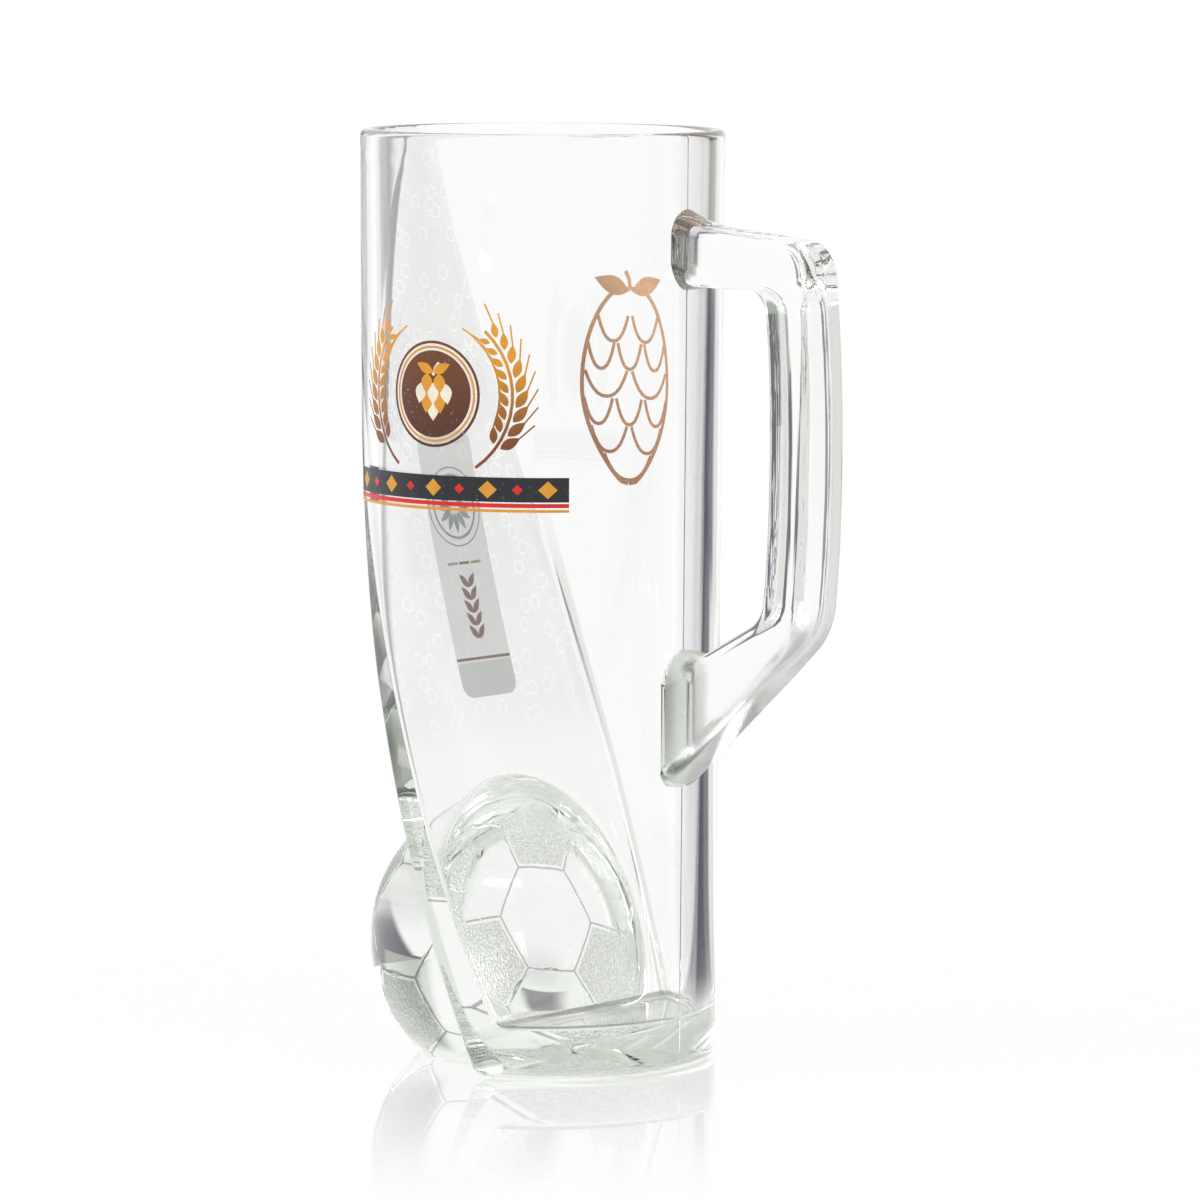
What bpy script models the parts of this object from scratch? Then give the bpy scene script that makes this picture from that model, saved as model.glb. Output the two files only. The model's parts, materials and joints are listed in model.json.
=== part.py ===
"""A tall pressed-glass beer mug with a scooped front, a football relief, a handle and fired prints.

Metres, +Z up. The origin is on the barrel's axis at the table, the handle points to +X and the
scooped front with the ball to -X. The mug mirrors about the XZ plane, apart from its prints.
"""
import math

import bmesh
import bpy
from mathutils import Matrix, Vector

# Barrel and foot
MUG_HEIGHT = 0.204
RIM_RADIUS = 0.040
FOOT_RADIUS = 0.0387
WALL_AT_RIM = 0.0033
WALL_AT_FLOOR = 0.0042
RIM_ROUND = 0.0014
FLOOR_THICKNESS = 0.010
FOOT_ROUND = 0.0035

# Scooped front: flat across, curved along its height
SCOOP_DEPTH = 0.0508
SCOOP_POWER = 1.57
SCOOP_WALL = 0.0042
SCOOP_ABOVE_RIM = 0.001
FLAT_BELOW_RIM = 0.0025

# Football relief
BALL_RADIUS = 0.0337
BALL_CENTRE_HEIGHT = 0.0250
BALL_TILT = math.radians(2.5)
SEAM_WIDTH = 0.0012
SEAM_DEPTH = 0.0005

# Handle, drawn in the XZ plane
HANDLE_WIDTH = 0.0155
HANDLE_EDGE_ROUND = 0.0025
ARM_BELOW_RIM = 0.019
ARM_DEPTH = 0.014
ARM_FALL = 0.004
WINDOW_HEIGHT = 0.0697
GRIP_REACH = 0.0262
GRIP_DEPTH = 0.0080
GRIP_BOW = 0.0031
GRIP_BOW_RADIUS = 0.400
HEEL_DROP = 0.0039
LOWER_ARM_ANGLE = math.radians(45.0)
SILL_ANGLE = math.radians(28.0)
SHOULDER_RADIUS = 0.0075
HEEL_RADIUS = 0.014
WINDOW_CORNER_RADIUS = 0.005
ROOT_LENGTH = 0.005
ROOT_FLARE = 0.0020
ROOT_RADIUS = 0.008

# Fired prints: thin layers of enamel on the glass
PRINT_THICKNESS = 0.0002
PRINT_AZIMUTH = math.radians(-88.0)
MEDALLION_RADIUS = 0.0115
MEDALLION_BELOW_RIM = 0.056
EAR_LENGTH = 0.034
EAR_WIDTH = 0.0085
EAR_SPACE = 0.003
BAND_LENGTH = 0.062
BAND_HEIGHT = 0.0075
BAND_BELOW_MEDALLION = 0.006
HOP_AZIMUTH = math.radians(96.0)
HOP_WIDTH = 0.026
HOP_HEIGHT = 0.045
HOP_BELOW_RIM = 0.0585
PANEL_TOP_WIDTH = 0.016
PANEL_ABOVE_BALL = 0.004
LABEL_ABOVE_PANEL_FOOT = 0.015
LABEL_WIDTH = 0.021
LABEL_LENGTH = 0.058
LABEL_CORNER_RADIUS = 0.003

# Clearance between pieces that meet, and the fineness of round stretches
GAP = 0.0003
CUTTER_MARGIN = 0.02
ROUND_STEPS = 96
ARC_STEPS = 6
SCOOP_STEPS = 28
PRINT_CELL = 0.003
BALL_CUTS = 3

CLEAR_GLASS = (0.86, 0.90, 0.87)
BROWN_ENAMEL = (0.20, 0.06, 0.03)
AMBER_ENAMEL = (0.55, 0.24, 0.05)
NAVY_ENAMEL = (0.05, 0.05, 0.08)
COPPER_ENAMEL = (0.48, 0.25, 0.16)
PALE_ENAMEL = (0.82, 0.82, 0.83)
LABEL_ENAMEL = (0.68, 0.68, 0.66)


def clear_scene():
    for old in list(bpy.data.objects):
        bpy.data.objects.remove(old)


def new_collection(name):
    collection = bpy.data.collections.new(name)
    bpy.context.scene.collection.children.link(collection)
    return collection


def glass_material(name):
    material = enamel_material(name, CLEAR_GLASS, 0.03)
    shader = material.node_tree.nodes["Principled BSDF"]
    shader.inputs["Transmission Weight"].default_value = 1.0
    return material


def enamel_material(name, colour, roughness):
    material = bpy.data.materials.new(name)
    material.use_nodes = True
    shader = material.node_tree.nodes["Principled BSDF"]
    shader.inputs["Base Color"].default_value = (*colour, 1.0)
    shader.inputs["Roughness"].default_value = roughness
    shader.inputs["Metallic"].default_value = 0.0
    return material


def add_object(name, mesh, collection):
    mesh.name = name
    piece = bpy.data.objects.new(name, mesh)
    collection.objects.link(piece)
    return piece


def add_cutter(name, mesh):
    cutter = add_object(name, mesh, cutters)
    cutter.hide_render = True
    cutter.display_type = "WIRE"
    return cutter


def finish_piece(piece, material):
    piece.data.materials.clear()
    piece.data.materials.append(material)
    piece.data.shade_smooth()
    piece.data.set_sharp_from_angle(angle=math.radians(30.0))
    piece.parent = mug_root


def cut(piece, cutter):
    boolean = piece.modifiers.new(f"cut_{cutter.name}", "BOOLEAN")
    boolean.operation = "DIFFERENCE"
    boolean.solver = "EXACT"
    boolean.object = cutter


def wall_radius(z):
    return FOOT_RADIUS + (RIM_RADIUS - FOOT_RADIUS) * z / MUG_HEIGHT


def bore_radius(z):
    up = (z - FLOOR_THICKNESS) / (MUG_HEIGHT - FLOOR_THICKNESS)
    return wall_radius(z) - WALL_AT_FLOOR - (WALL_AT_RIM - WALL_AT_FLOOR) * up


def scoop_x(z):
    """The scoop's outer face: level with the wall at the rim, far in at the table."""
    top = MUG_HEIGHT + SCOOP_ABOVE_RIM
    below = max(0.0, top - z) / top
    return SCOOP_DEPTH * below ** SCOOP_POWER - RIM_RADIUS


def scoop_heights(low, high):
    return [low + (high - low) * step / SCOOP_STEPS for step in range(SCOOP_STEPS + 1)]


def front_surface_x(y, z):
    """The outer surface on the scooped side: the scoop, or the round wall where that lies further in."""
    around = math.sqrt(max(0.0, wall_radius(z) ** 2 - y ** 2))
    return max(scoop_x(z), -around)


def arc(centre_r, centre_z, radius, start, end):
    """Points of an arc in the (r, z) plane, angles in degrees from +r."""
    points = []
    for step in range(ARC_STEPS + 1):
        angle = math.radians(start + (end - start) * step / ARC_STEPS)
        points.append((centre_r + radius * math.cos(angle), centre_z + radius * math.sin(angle)))
    return points


def rounded_outline(corners):
    """A closed outline through corners (x, z, radius), each radius limited by its two sides."""
    points = []
    for index, (x, z, radius) in enumerate(corners):
        corner = Vector((x, z))
        if radius == 0.0:
            points.append(corner)
            continue
        to_last = Vector(corners[index - 1][:2]) - corner
        to_next = Vector(corners[(index + 1) % len(corners)][:2]) - corner
        half = to_last.angle(to_next) / 2.0
        reach = min(radius / math.tan(half), 0.49 * to_last.length, 0.49 * to_next.length)
        to_last.normalize()
        to_next.normalize()
        centre = corner + (to_last + to_next).normalized() * (reach / math.cos(half))
        arm = corner + to_last * reach - centre
        turn = arm.angle_signed(corner + to_next * reach - centre)
        for step in range(ARC_STEPS + 1):
            swing = Matrix.Rotation(-turn * step / ARC_STEPS, 2)
            points.append(centre + swing @ arm)
    return points


def turned_mesh(name, profile):
    """A profile of (r, z) points, top to bottom along its outer side, ready for a Screw modifier."""
    mesh = bpy.data.meshes.new(name)
    points = [(r, 0.0, z) for r, z in profile]
    edges = [(index, index + 1) for index in range(len(points) - 1)]
    mesh.from_pydata(points, edges, [])
    return mesh


def spin(piece):
    screw = piece.modifiers.new("turn", "SCREW")
    screw.axis = "Z"
    screw.steps = ROUND_STEPS
    screw.render_steps = ROUND_STEPS
    screw.use_smooth_shade = True
    screw.use_merge_vertices = True
    screw.merge_threshold = 0.00001


def outline_mesh(name, outline, half_thickness):
    """A flat outline filled and thickened as a 2D curve, then made a mesh with welded caps."""
    curve = bpy.data.curves.new(name, "CURVE")
    curve.dimensions = "2D"
    curve.fill_mode = "BOTH"
    curve.extrude = half_thickness
    spline = curve.splines.new("POLY")
    spline.points.add(len(outline) - 1)
    for point, (across, up) in zip(spline.points, outline):
        point.co = (across, up, 0.0, 1.0)
    spline.use_cyclic_u = True
    sketch = bpy.data.objects.new(name, curve)
    cutters.objects.link(sketch)
    bpy.context.view_layer.update()
    evaluated = sketch.evaluated_get(bpy.context.evaluated_depsgraph_get())
    mesh = bpy.data.meshes.new_from_object(evaluated)
    bpy.data.objects.remove(sketch)
    solid = bmesh.new()
    solid.from_mesh(mesh)
    bmesh.ops.remove_doubles(solid, verts=solid.verts[:], dist=0.000001)
    bmesh.ops.dissolve_limit(solid, angle_limit=0.001, verts=solid.verts[:], edges=solid.edges[:])
    bmesh.ops.recalc_face_normals(solid, faces=solid.faces[:])
    solid.to_mesh(mesh)
    solid.free()
    return mesh


def prism_mesh(name, outline, half_width):
    """An outline of (x, z) points, made a solid that runs along Y."""
    mesh = outline_mesh(name, outline, half_width)
    mesh.transform(Matrix.Rotation(math.pi / 2.0, 4, "X"))
    return mesh


def front_block(name, low, high, face):
    """The space in front of a scoop-shaped face, from the height low to high."""
    far = -2.0 * RIM_RADIUS - CUTTER_MARGIN
    outline = [(face(z), z) for z in scoop_heights(low, high)]
    outline += [(far, high), (far, low)]
    return add_cutter(name, prism_mesh(name, outline, RIM_RADIUS + CUTTER_MARGIN))


def inner_flat_x(z):
    """The scoop's inner face, a wall's thickness behind the outer one."""
    return scoop_x(z) + SCOOP_WALL


def build_barrel():
    low = FLOOR_THICKNESS + GAP
    rim_arc = arc(wall_radius(MUG_HEIGHT) - RIM_ROUND, MUG_HEIGHT - RIM_ROUND, RIM_ROUND, 90.0, 0.0)
    blank = [(0.0, MUG_HEIGHT)] + rim_arc + [(wall_radius(low), low), (0.0, low)]
    barrel = add_object("barrel", turned_mesh("barrel", blank), parts)
    spin(barrel)

    lip_radius = bore_radius(MUG_HEIGHT) + RIM_ROUND
    lip_arc = arc(lip_radius, MUG_HEIGHT - RIM_ROUND, RIM_ROUND, 90.0, 180.0)
    over = MUG_HEIGHT + CUTTER_MARGIN
    under = FLOOR_THICKNESS - GAP
    bore = [(0.0, over), (lip_radius, over)] + lip_arc + [(bore_radius(under), under), (0.0, under)]
    cavity = add_cutter("cavity", turned_mesh("cavity", bore))
    spin(cavity)
    flat_top = MUG_HEIGHT - FLAT_BELOW_RIM
    cut(cavity, front_block("inner_flat", under - GAP, flat_top, inner_flat_x))

    cut(barrel, scoop_block)
    cut(barrel, cavity)
    finish_piece(barrel, glass_material("clear_glass_barrel"))


def build_base():
    top = wall_radius(FLOOR_THICKNESS)
    foot_arc = arc(FOOT_RADIUS - FOOT_ROUND, FOOT_ROUND, FOOT_ROUND, 0.0, -90.0)
    profile = [(0.0, FLOOR_THICKNESS), (top, FLOOR_THICKNESS)] + foot_arc + [(0.0, 0.0)]
    base = add_object("base", turned_mesh("base", profile), parts)
    spin(base)
    cut(base, scoop_block)
    finish_piece(base, glass_material("clear_glass_base"))


def seam_distance(point, seams):
    """How far a point on the ball lies from the nearest seam between two panels."""
    best = BALL_RADIUS
    for start, end in seams:
        along = end - start
        share = max(0.0, min(1.0, (point - start).dot(along) / along.length_squared))
        nearest = (start + along * share).normalized() * BALL_RADIUS
        best = min(best, (point - nearest).length)
    return best


def football_mesh():
    """Thirty-two panels: an icosahedron with its corners cut, its seams pressed in as grooves."""
    ball = bmesh.new()
    bmesh.ops.create_icosphere(ball, subdivisions=1, radius=BALL_RADIUS)
    bmesh.ops.bevel(ball, geom=ball.verts[:], offset=100.0 / 3.0, offset_type="PERCENT",
                    affect="VERTICES", segments=1, profile=0.5, material=-1)
    seams = [(edge.verts[0].co.copy(), edge.verts[1].co.copy()) for edge in ball.edges]
    panels = ball.faces[:]
    bmesh.ops.inset_individual(ball, faces=panels, thickness=SEAM_WIDTH / 2.0, use_even_offset=True)
    bmesh.ops.poke(ball, faces=panels)
    long_edges = [edge for edge in ball.edges if edge.calc_length() > 2.0 * SEAM_WIDTH]
    bmesh.ops.subdivide_edges(ball, edges=long_edges, cuts=BALL_CUTS, use_grid_fill=True)
    bmesh.ops.triangulate(ball, faces=ball.faces[:])
    for vert in ball.verts:
        point = vert.co.normalized() * BALL_RADIUS
        into_groove = max(0.0, 1.0 - 2.0 * seam_distance(point, seams) / SEAM_WIDTH)
        vert.co = point.normalized() * (BALL_RADIUS - SEAM_DEPTH * into_groove)
    bmesh.ops.rotate(ball, verts=ball.verts[:], matrix=Matrix.Rotation(BALL_TILT, 3, "Y"))
    bmesh.ops.translate(ball, verts=ball.verts[:], vec=ball_centre)
    mesh = bpy.data.meshes.new("ball")
    ball.to_mesh(mesh)
    ball.free()
    return mesh


def build_ball():
    ball = add_object("ball", football_mesh(), parts)
    span = 2.0 * BALL_RADIUS + CUTTER_MARGIN
    low = -span
    high = ball_centre.z + span
    behind = [(scoop_x(z) - GAP, z) for z in scoop_heights(low, high)]
    behind += [(ball_centre.x + span, high), (ball_centre.x + span, low)]
    cut(ball, add_cutter("behind_scoop", prism_mesh("behind_scoop", behind, span)))
    table = [(-span, low), (span, low), (span, 0.0), (-span, 0.0)]
    table = [(ball_centre.x + x, z) for x, z in table]
    cut(ball, add_cutter("table", prism_mesh("table", table, span)))
    finish_piece(ball, glass_material("clear_glass_ball"))


def handle_corners():
    """The handle's side view, from the upper root round the grip to the lower root and back inside."""
    buried = RIM_RADIUS - WALL_AT_RIM
    root = RIM_RADIUS + ROOT_LENGTH
    arm_top = MUG_HEIGHT - ARM_BELOW_RIM
    window_top = arm_top - ARM_DEPTH
    window_foot = window_top - WINDOW_HEIGHT
    middle = (window_top + window_foot) / 2.0
    inner = RIM_RADIUS + GRIP_REACH
    outer = inner + GRIP_DEPTH
    shoulder = arm_top - ARM_FALL
    heel = window_foot - HEEL_DROP
    root_foot = heel - (outer - root) * math.tan(LOWER_ARM_ANGLE)
    sill_root = window_foot - (inner - root) * math.tan(SILL_ANGLE)
    sill_wall = sill_root - (root - buried) * math.tan(SILL_ANGLE)
    lower_flare = (root - buried) * math.tan(LOWER_ARM_ANGLE) + ROOT_FLARE
    return [
        (buried, arm_top + ROOT_FLARE, 0.0),
        (root, arm_top, ROOT_RADIUS),
        (outer, shoulder, SHOULDER_RADIUS),
        (outer + GRIP_BOW, middle, GRIP_BOW_RADIUS),
        (outer, heel, HEEL_RADIUS),
        (root, root_foot, ROOT_RADIUS),
        (buried, root_foot - lower_flare, 0.0),
        (buried, sill_wall, 0.0),
        (inner, window_foot, WINDOW_CORNER_RADIUS),
        (inner + GRIP_BOW, middle, GRIP_BOW_RADIUS),
        (inner, window_top, WINDOW_CORNER_RADIUS),
        (root, window_top, ROOT_RADIUS),
        (buried, window_top - ROOT_FLARE, 0.0),
    ]


def build_handle():
    outline = rounded_outline(handle_corners())
    handle = add_object("handle", prism_mesh("handle", outline, HANDLE_WIDTH / 2.0), parts)
    rounding = handle.modifiers.new("round_edges", "BEVEL")
    rounding.width = HANDLE_EDGE_ROUND
    rounding.segments = 3
    rounding.limit_method = "ANGLE"
    rounding.angle_limit = math.radians(60.0)
    low = -CUTTER_MARGIN
    high = MUG_HEIGHT + CUTTER_MARGIN
    core = [(0.0, high), (wall_radius(high) + GAP, high), (wall_radius(low) + GAP, low), (0.0, low)]
    core_cutter = add_cutter("wall_core", turned_mesh("wall_core", core))
    spin(core_cutter)
    cut(handle, core_cutter)
    finish_piece(handle, glass_material("clear_glass_handle"))


def build_print(name, outline, place, material):
    """A thin plate of enamel: a flat outline cut into cells, then laid on a surface by place(u, v, w)."""
    mesh = outline_mesh(name, outline, PRINT_THICKNESS / 2.0)
    plate = bmesh.new()
    plate.from_mesh(mesh)
    for axis in (0, 1):
        normal = Vector((1.0 - axis, axis, 0.0))
        spread = [vert.co[axis] for vert in plate.verts]
        low = min(spread)
        cells = max(1, math.ceil((max(spread) - low) / PRINT_CELL))
        for cell in range(1, cells):
            offset = low + (max(spread) - low) * cell / cells
            everything = plate.verts[:] + plate.edges[:] + plate.faces[:]
            bmesh.ops.bisect_plane(plate, geom=everything, dist=0.0000001,
                                   plane_co=normal * offset, plane_no=normal)
    bmesh.ops.triangulate(plate, faces=plate.faces[:])
    for vert in plate.verts:
        vert.co = place(*vert.co)
    plate.to_mesh(mesh)
    plate.free()
    finish_piece(add_object(name, mesh, parts), material)


def on_wall(azimuth, height):
    """Lays (u, v) on the round wall: u to the right as seen from outside, v up from height."""
    def place(u, v, w):
        z = height + v
        angle = azimuth + u / wall_radius(height)
        radius = wall_radius(z) + GAP + PRINT_THICKNESS / 2.0 + w
        return Vector((radius * math.cos(angle), radius * math.sin(angle), z))
    return place


def on_scoop(lift):
    """Lays (u, z) on the scooped front: u to the right as seen from outside."""
    def place(u, z, w):
        return Vector((front_surface_x(u, z) - lift - PRINT_THICKNESS / 2.0 - w, -u, z))
    return place


def ellipse(width, height, points):
    turn = 2.0 * math.pi / points
    return [(width / 2.0 * math.cos(turn * step), height / 2.0 * math.sin(turn * step))
            for step in range(points)]


def ear_outline(side):
    """A barley ear's spindle that curls up round the medallion, on its left (-1) or right (1)."""
    orbit = MEDALLION_RADIUS + EAR_SPACE + EAR_WIDTH / 2.0
    sweep = EAR_LENGTH / orbit
    steps = 3 * ARC_STEPS
    outer = []
    inner = []
    for step in range(steps + 1):
        share = step / steps
        angle = -sweep / 2.0 + sweep * share
        half = EAR_WIDTH / 2.0 * math.sin(math.pi * share) ** 0.6
        outer.append((side * (orbit + half) * math.cos(angle), (orbit + half) * math.sin(angle)))
        inner.append((side * (orbit - half) * math.cos(angle), (orbit - half) * math.sin(angle)))
    return outer + inner[-2:0:-1]


def hop_outline():
    """A hop cone's outline: broad shoulders above, a rounded point below."""
    points = []
    for across, up in ellipse(HOP_WIDTH, HOP_HEIGHT, 6 * ARC_STEPS):
        taper = 1.0 - 0.35 * max(0.0, -2.0 * up / HOP_HEIGHT) ** 2
        points.append((across * taper, up))
    return points


def panel_half_width(z):
    """Half the width of the scoop's inner flat, which the pale panel covers."""
    inside = bore_radius(z) ** 2 - inner_flat_x(z) ** 2
    return max(PANEL_TOP_WIDTH / 2.0, math.sqrt(max(0.0, inside)))


def build_wall_prints():
    brown = enamel_material("brown_enamel", BROWN_ENAMEL, 0.30)
    medallion_height = MUG_HEIGHT - MEDALLION_BELOW_RIM
    on_front = on_wall(PRINT_AZIMUTH, medallion_height)
    disc = ellipse(2.0 * MEDALLION_RADIUS, 2.0 * MEDALLION_RADIUS, 6 * ARC_STEPS)
    build_print("front_medallion", disc, on_front, brown)
    for name, side in (("front_ear_left", -1.0), ("front_ear_right", 1.0)):
        build_print(name, ear_outline(side), on_front, enamel_material(f"amber_{name}", AMBER_ENAMEL, 0.35))
    band_top = -MEDALLION_RADIUS - BAND_BELOW_MEDALLION
    band_foot = band_top - BAND_HEIGHT
    half = BAND_LENGTH / 2.0
    band = [(-half, band_top), (-half, band_foot), (half, band_foot), (half, band_top)]
    build_print("front_band", band, on_front, enamel_material("navy_enamel", NAVY_ENAMEL, 0.30))
    copper = enamel_material("copper_enamel", COPPER_ENAMEL, 0.35)
    build_print("rear_hop", hop_outline(), on_wall(HOP_AZIMUTH, MUG_HEIGHT - HOP_BELOW_RIM), copper)


def build_scoop_prints():
    foot = ball_centre.z + BALL_RADIUS + PANEL_ABOVE_BALL
    heights = scoop_heights(foot, MUG_HEIGHT - FLAT_BELOW_RIM)
    right = [(panel_half_width(z), z) for z in heights]
    left = [(-across, z) for across, z in reversed(right)]
    pale = enamel_material("pale_enamel", PALE_ENAMEL, 0.40)
    build_print("scoop_panel", right + left, on_scoop(GAP), pale)
    low = foot + LABEL_ABOVE_PANEL_FOOT
    high = low + LABEL_LENGTH
    half = LABEL_WIDTH / 2.0
    corners = [(-half, low), (half, low), (half, high), (-half, high)]
    label = rounded_outline([(across, z, LABEL_CORNER_RADIUS) for across, z in corners])
    grey = enamel_material("label_enamel", LABEL_ENAMEL, 0.40)
    build_print("scoop_label", label, on_scoop(2.0 * GAP + PRINT_THICKNESS), grey)


clear_scene()
parts = new_collection("beer_mug")
cutters = new_collection("cutters")
mug_root = bpy.data.objects.new("mug_root", None)
parts.objects.link(mug_root)
ball_centre = Vector((BALL_RADIUS - FOOT_RADIUS, 0.0, BALL_CENTRE_HEIGHT))
scoop_block = front_block("scoop_block", -CUTTER_MARGIN, MUG_HEIGHT + SCOOP_ABOVE_RIM, scoop_x)

build_barrel()
build_base()
build_ball()
build_handle()
build_wall_prints()
build_scoop_prints()
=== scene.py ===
# %% [markdown]
# # A pressed-glass beer mug
# The packed CAD model is the frame of this scene: its nodes say where the barrel, the base, the ball, the
# handle and the prints are. The looks are built around it in the same metres and the same axes, so nothing
# has to be fitted by eye.

# %% Load the frame
import json
import math

import bmesh
import bpy
from mathutils import Matrix, Vector

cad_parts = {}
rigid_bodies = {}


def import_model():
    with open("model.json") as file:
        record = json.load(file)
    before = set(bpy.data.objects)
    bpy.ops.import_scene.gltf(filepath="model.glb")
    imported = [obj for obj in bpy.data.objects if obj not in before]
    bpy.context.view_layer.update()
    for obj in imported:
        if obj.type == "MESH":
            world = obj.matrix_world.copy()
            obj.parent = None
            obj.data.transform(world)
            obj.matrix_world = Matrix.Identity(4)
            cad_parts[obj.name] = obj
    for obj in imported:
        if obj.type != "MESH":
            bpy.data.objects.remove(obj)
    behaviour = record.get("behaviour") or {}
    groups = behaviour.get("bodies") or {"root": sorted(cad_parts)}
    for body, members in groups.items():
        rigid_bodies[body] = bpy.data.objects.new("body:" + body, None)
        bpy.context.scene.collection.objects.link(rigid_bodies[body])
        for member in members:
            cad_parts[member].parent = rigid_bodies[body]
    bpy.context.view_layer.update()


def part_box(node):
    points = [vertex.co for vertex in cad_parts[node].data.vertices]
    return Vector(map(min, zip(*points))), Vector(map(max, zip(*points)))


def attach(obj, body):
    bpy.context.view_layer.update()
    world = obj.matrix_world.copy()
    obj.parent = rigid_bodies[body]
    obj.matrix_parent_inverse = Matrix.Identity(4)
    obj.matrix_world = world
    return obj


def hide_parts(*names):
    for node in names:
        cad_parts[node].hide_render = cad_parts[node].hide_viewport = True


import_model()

# %% [markdown]
# ## The forms of the pressing
# The real mug is one pressing. A plunger leaves the bore, a mould leaves the outside, and the scooped front
# is flat across and curved along its height. Three short functions hold these forms: the radius of the
# outside, the radius of the bore, and how far back the scoop lies at each height.

# %% Wall, bore and scoop
MUG_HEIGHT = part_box("barrel")[1].z
RIM_RADIUS = 0.040
FOOT_RADIUS = 0.0387
FLOOR_TOP = 0.010
WALL_AT_RIM = 0.0033
WALL_AT_FLOOR = 0.0042
SCOOP_DEPTH = 0.0508
SCOOP_POWER = 1.57
SCOOP_WALL = 0.0042
SCOOP_TOP = MUG_HEIGHT + 0.001
FLAT_TOP = MUG_HEIGHT - 0.0025


def wall_radius(z):
    return FOOT_RADIUS + (RIM_RADIUS - FOOT_RADIUS) * z / MUG_HEIGHT


def bore_radius(z):
    up = (z - FLOOR_TOP) / (MUG_HEIGHT - FLOOR_TOP)
    return wall_radius(z) - WALL_AT_FLOOR - (WALL_AT_RIM - WALL_AT_FLOOR) * up


def scoop_x(z):
    return SCOOP_DEPTH * (max(0.0, SCOOP_TOP - z) / SCOOP_TOP) ** SCOOP_POWER - RIM_RADIUS


for z in (0.0, 0.1, MUG_HEIGHT):
    sizes = [round(1000.0 * size, 1) for size in (wall_radius(z), bore_radius(z), scoop_x(z))]
    print(f"height {z:.3f}: wall, bore and scoop at", sizes, "mm")

# %% [markdown]
# ## The body as a list of rings
# Going from the middle of the foot up the outside, over the rim and down the bore to the floor, the glass
# follows one profile. Each ring of that profile has a height, an inset from the plain wall and a side,
# outside or inside. The insets make the rounds at the foot, the rim and the floor.

# %% Profile of the body
FOOT_ROUND = 0.0022
FOOT_EDGE = 0.002
RIM_ROUND = 0.0014
FLOOR_ROUND = 0.0014
LIP_STEP = 0.0003
RING_STEP = 0.003
ROUND_RINGS = 7


def quarter(step):
    turn = math.pi / 2.0 * step / ROUND_RINGS
    return 1.0 - math.cos(turn), math.sin(turn)


def straight(low, high):
    count = math.ceil(abs(high - low) / RING_STEP)
    return [low + (high - low) * step / count for step in range(1, count)]


rings = [(0.0, FOOT_ROUND + FOOT_EDGE, "outside")]
for step in range(ROUND_RINGS + 1):
    rise, run = quarter(step)
    rings.append((FOOT_ROUND * rise, FOOT_ROUND * (1.0 - run), "outside"))
rings += [(z, 0.0, "outside") for z in straight(FOOT_ROUND, MUG_HEIGHT - RIM_ROUND)]
for step in range(ROUND_RINGS + 1):
    back, rise = quarter(step)
    rings.append((MUG_HEIGHT - RIM_ROUND * (1.0 - rise), RIM_ROUND * back, "outside"))
for step in range(ROUND_RINGS, -1, -1):
    back, rise = quarter(step)
    rings.append((MUG_HEIGHT - RIM_ROUND * (1.0 - rise), -RIM_ROUND * back, "inside"))
rings += [(FLAT_TOP + LIP_STEP, 0.0, "inside"), (FLAT_TOP, 0.0, "inside")]
rings += [(z, 0.0, "inside") for z in straight(FLAT_TOP, FLOOR_TOP + FLOOR_ROUND)]
for step in range(ROUND_RINGS + 1):
    back, drop = quarter(step)
    rings.append((FLOOR_TOP + FLOOR_ROUND * (1.0 - drop), FLOOR_ROUND * back, "inside"))
print(len(rings), "rings in the body's profile")

# %% [markdown]
# ## From a round section to the D of the scoop
# A spun profile is round. The mug's section is a D: an arc, a flat, and a small round where they meet.
# Every ring keeps its vertices and only slides them to the D of its own height, so the mesh stays an even
# grid. The first columns lie close together beside the handle's plane, to carry the fine seam of the mould.

# %% The D-shaped section
COLUMNS = 208
ARC_COLUMNS = 70
CORNER_COLUMNS = 8
FLAT_COLUMNS = COLUMNS // 2 - ARC_COLUMNS - CORNER_COLUMNS
LOW_CORNER = 0.0011
HIGH_CORNER = 0.0140
LEAST_CORNER = 0.0022
CORNER_SOFTENS = (0.085, 0.170)
BALL_WALL_EXTRA = 0.0006
BALL_WALL_FADE = (0.12, 0.06)
LEAST_CUT = 0.0002
SEAM_TURNS = (0.0, 0.004, 0.010, 0.018)
SEAM_HEIGHT = 0.00007


def ramp(value, start, end):
    """Goes smoothly from nothing at the start to one at the end."""
    share = max(0.0, min(1.0, (value - start) / (end - start)))
    return share * share * (3.0 - 2.0 * share)


def outer_corner(z):
    """The outer edge of the scoop is crisp beside the ball and softens towards the rim."""
    return LOW_CORNER + (HIGH_CORNER - LOW_CORNER) * ramp(z, *CORNER_SOFTENS)


def inner_flat_x(z):
    """The wall keeps its thickness round the edge of the scoop, and is a little thicker behind the ball."""
    return scoop_x(z) + wall_radius(z) - bore_radius(z) + BALL_WALL_EXTRA * ramp(z, *BALL_WALL_FADE)


print("round of the scoop's edge:", 1000.0 * LOW_CORNER, "to", 1000.0 * HIGH_CORNER, "mm")

# %% [markdown]
# One function walks round the D by columns, from the handle's plane to the middle of the flat: along the arc,
# round the corner and along the flat. A second one gives it the sizes that belong to a ring.

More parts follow.
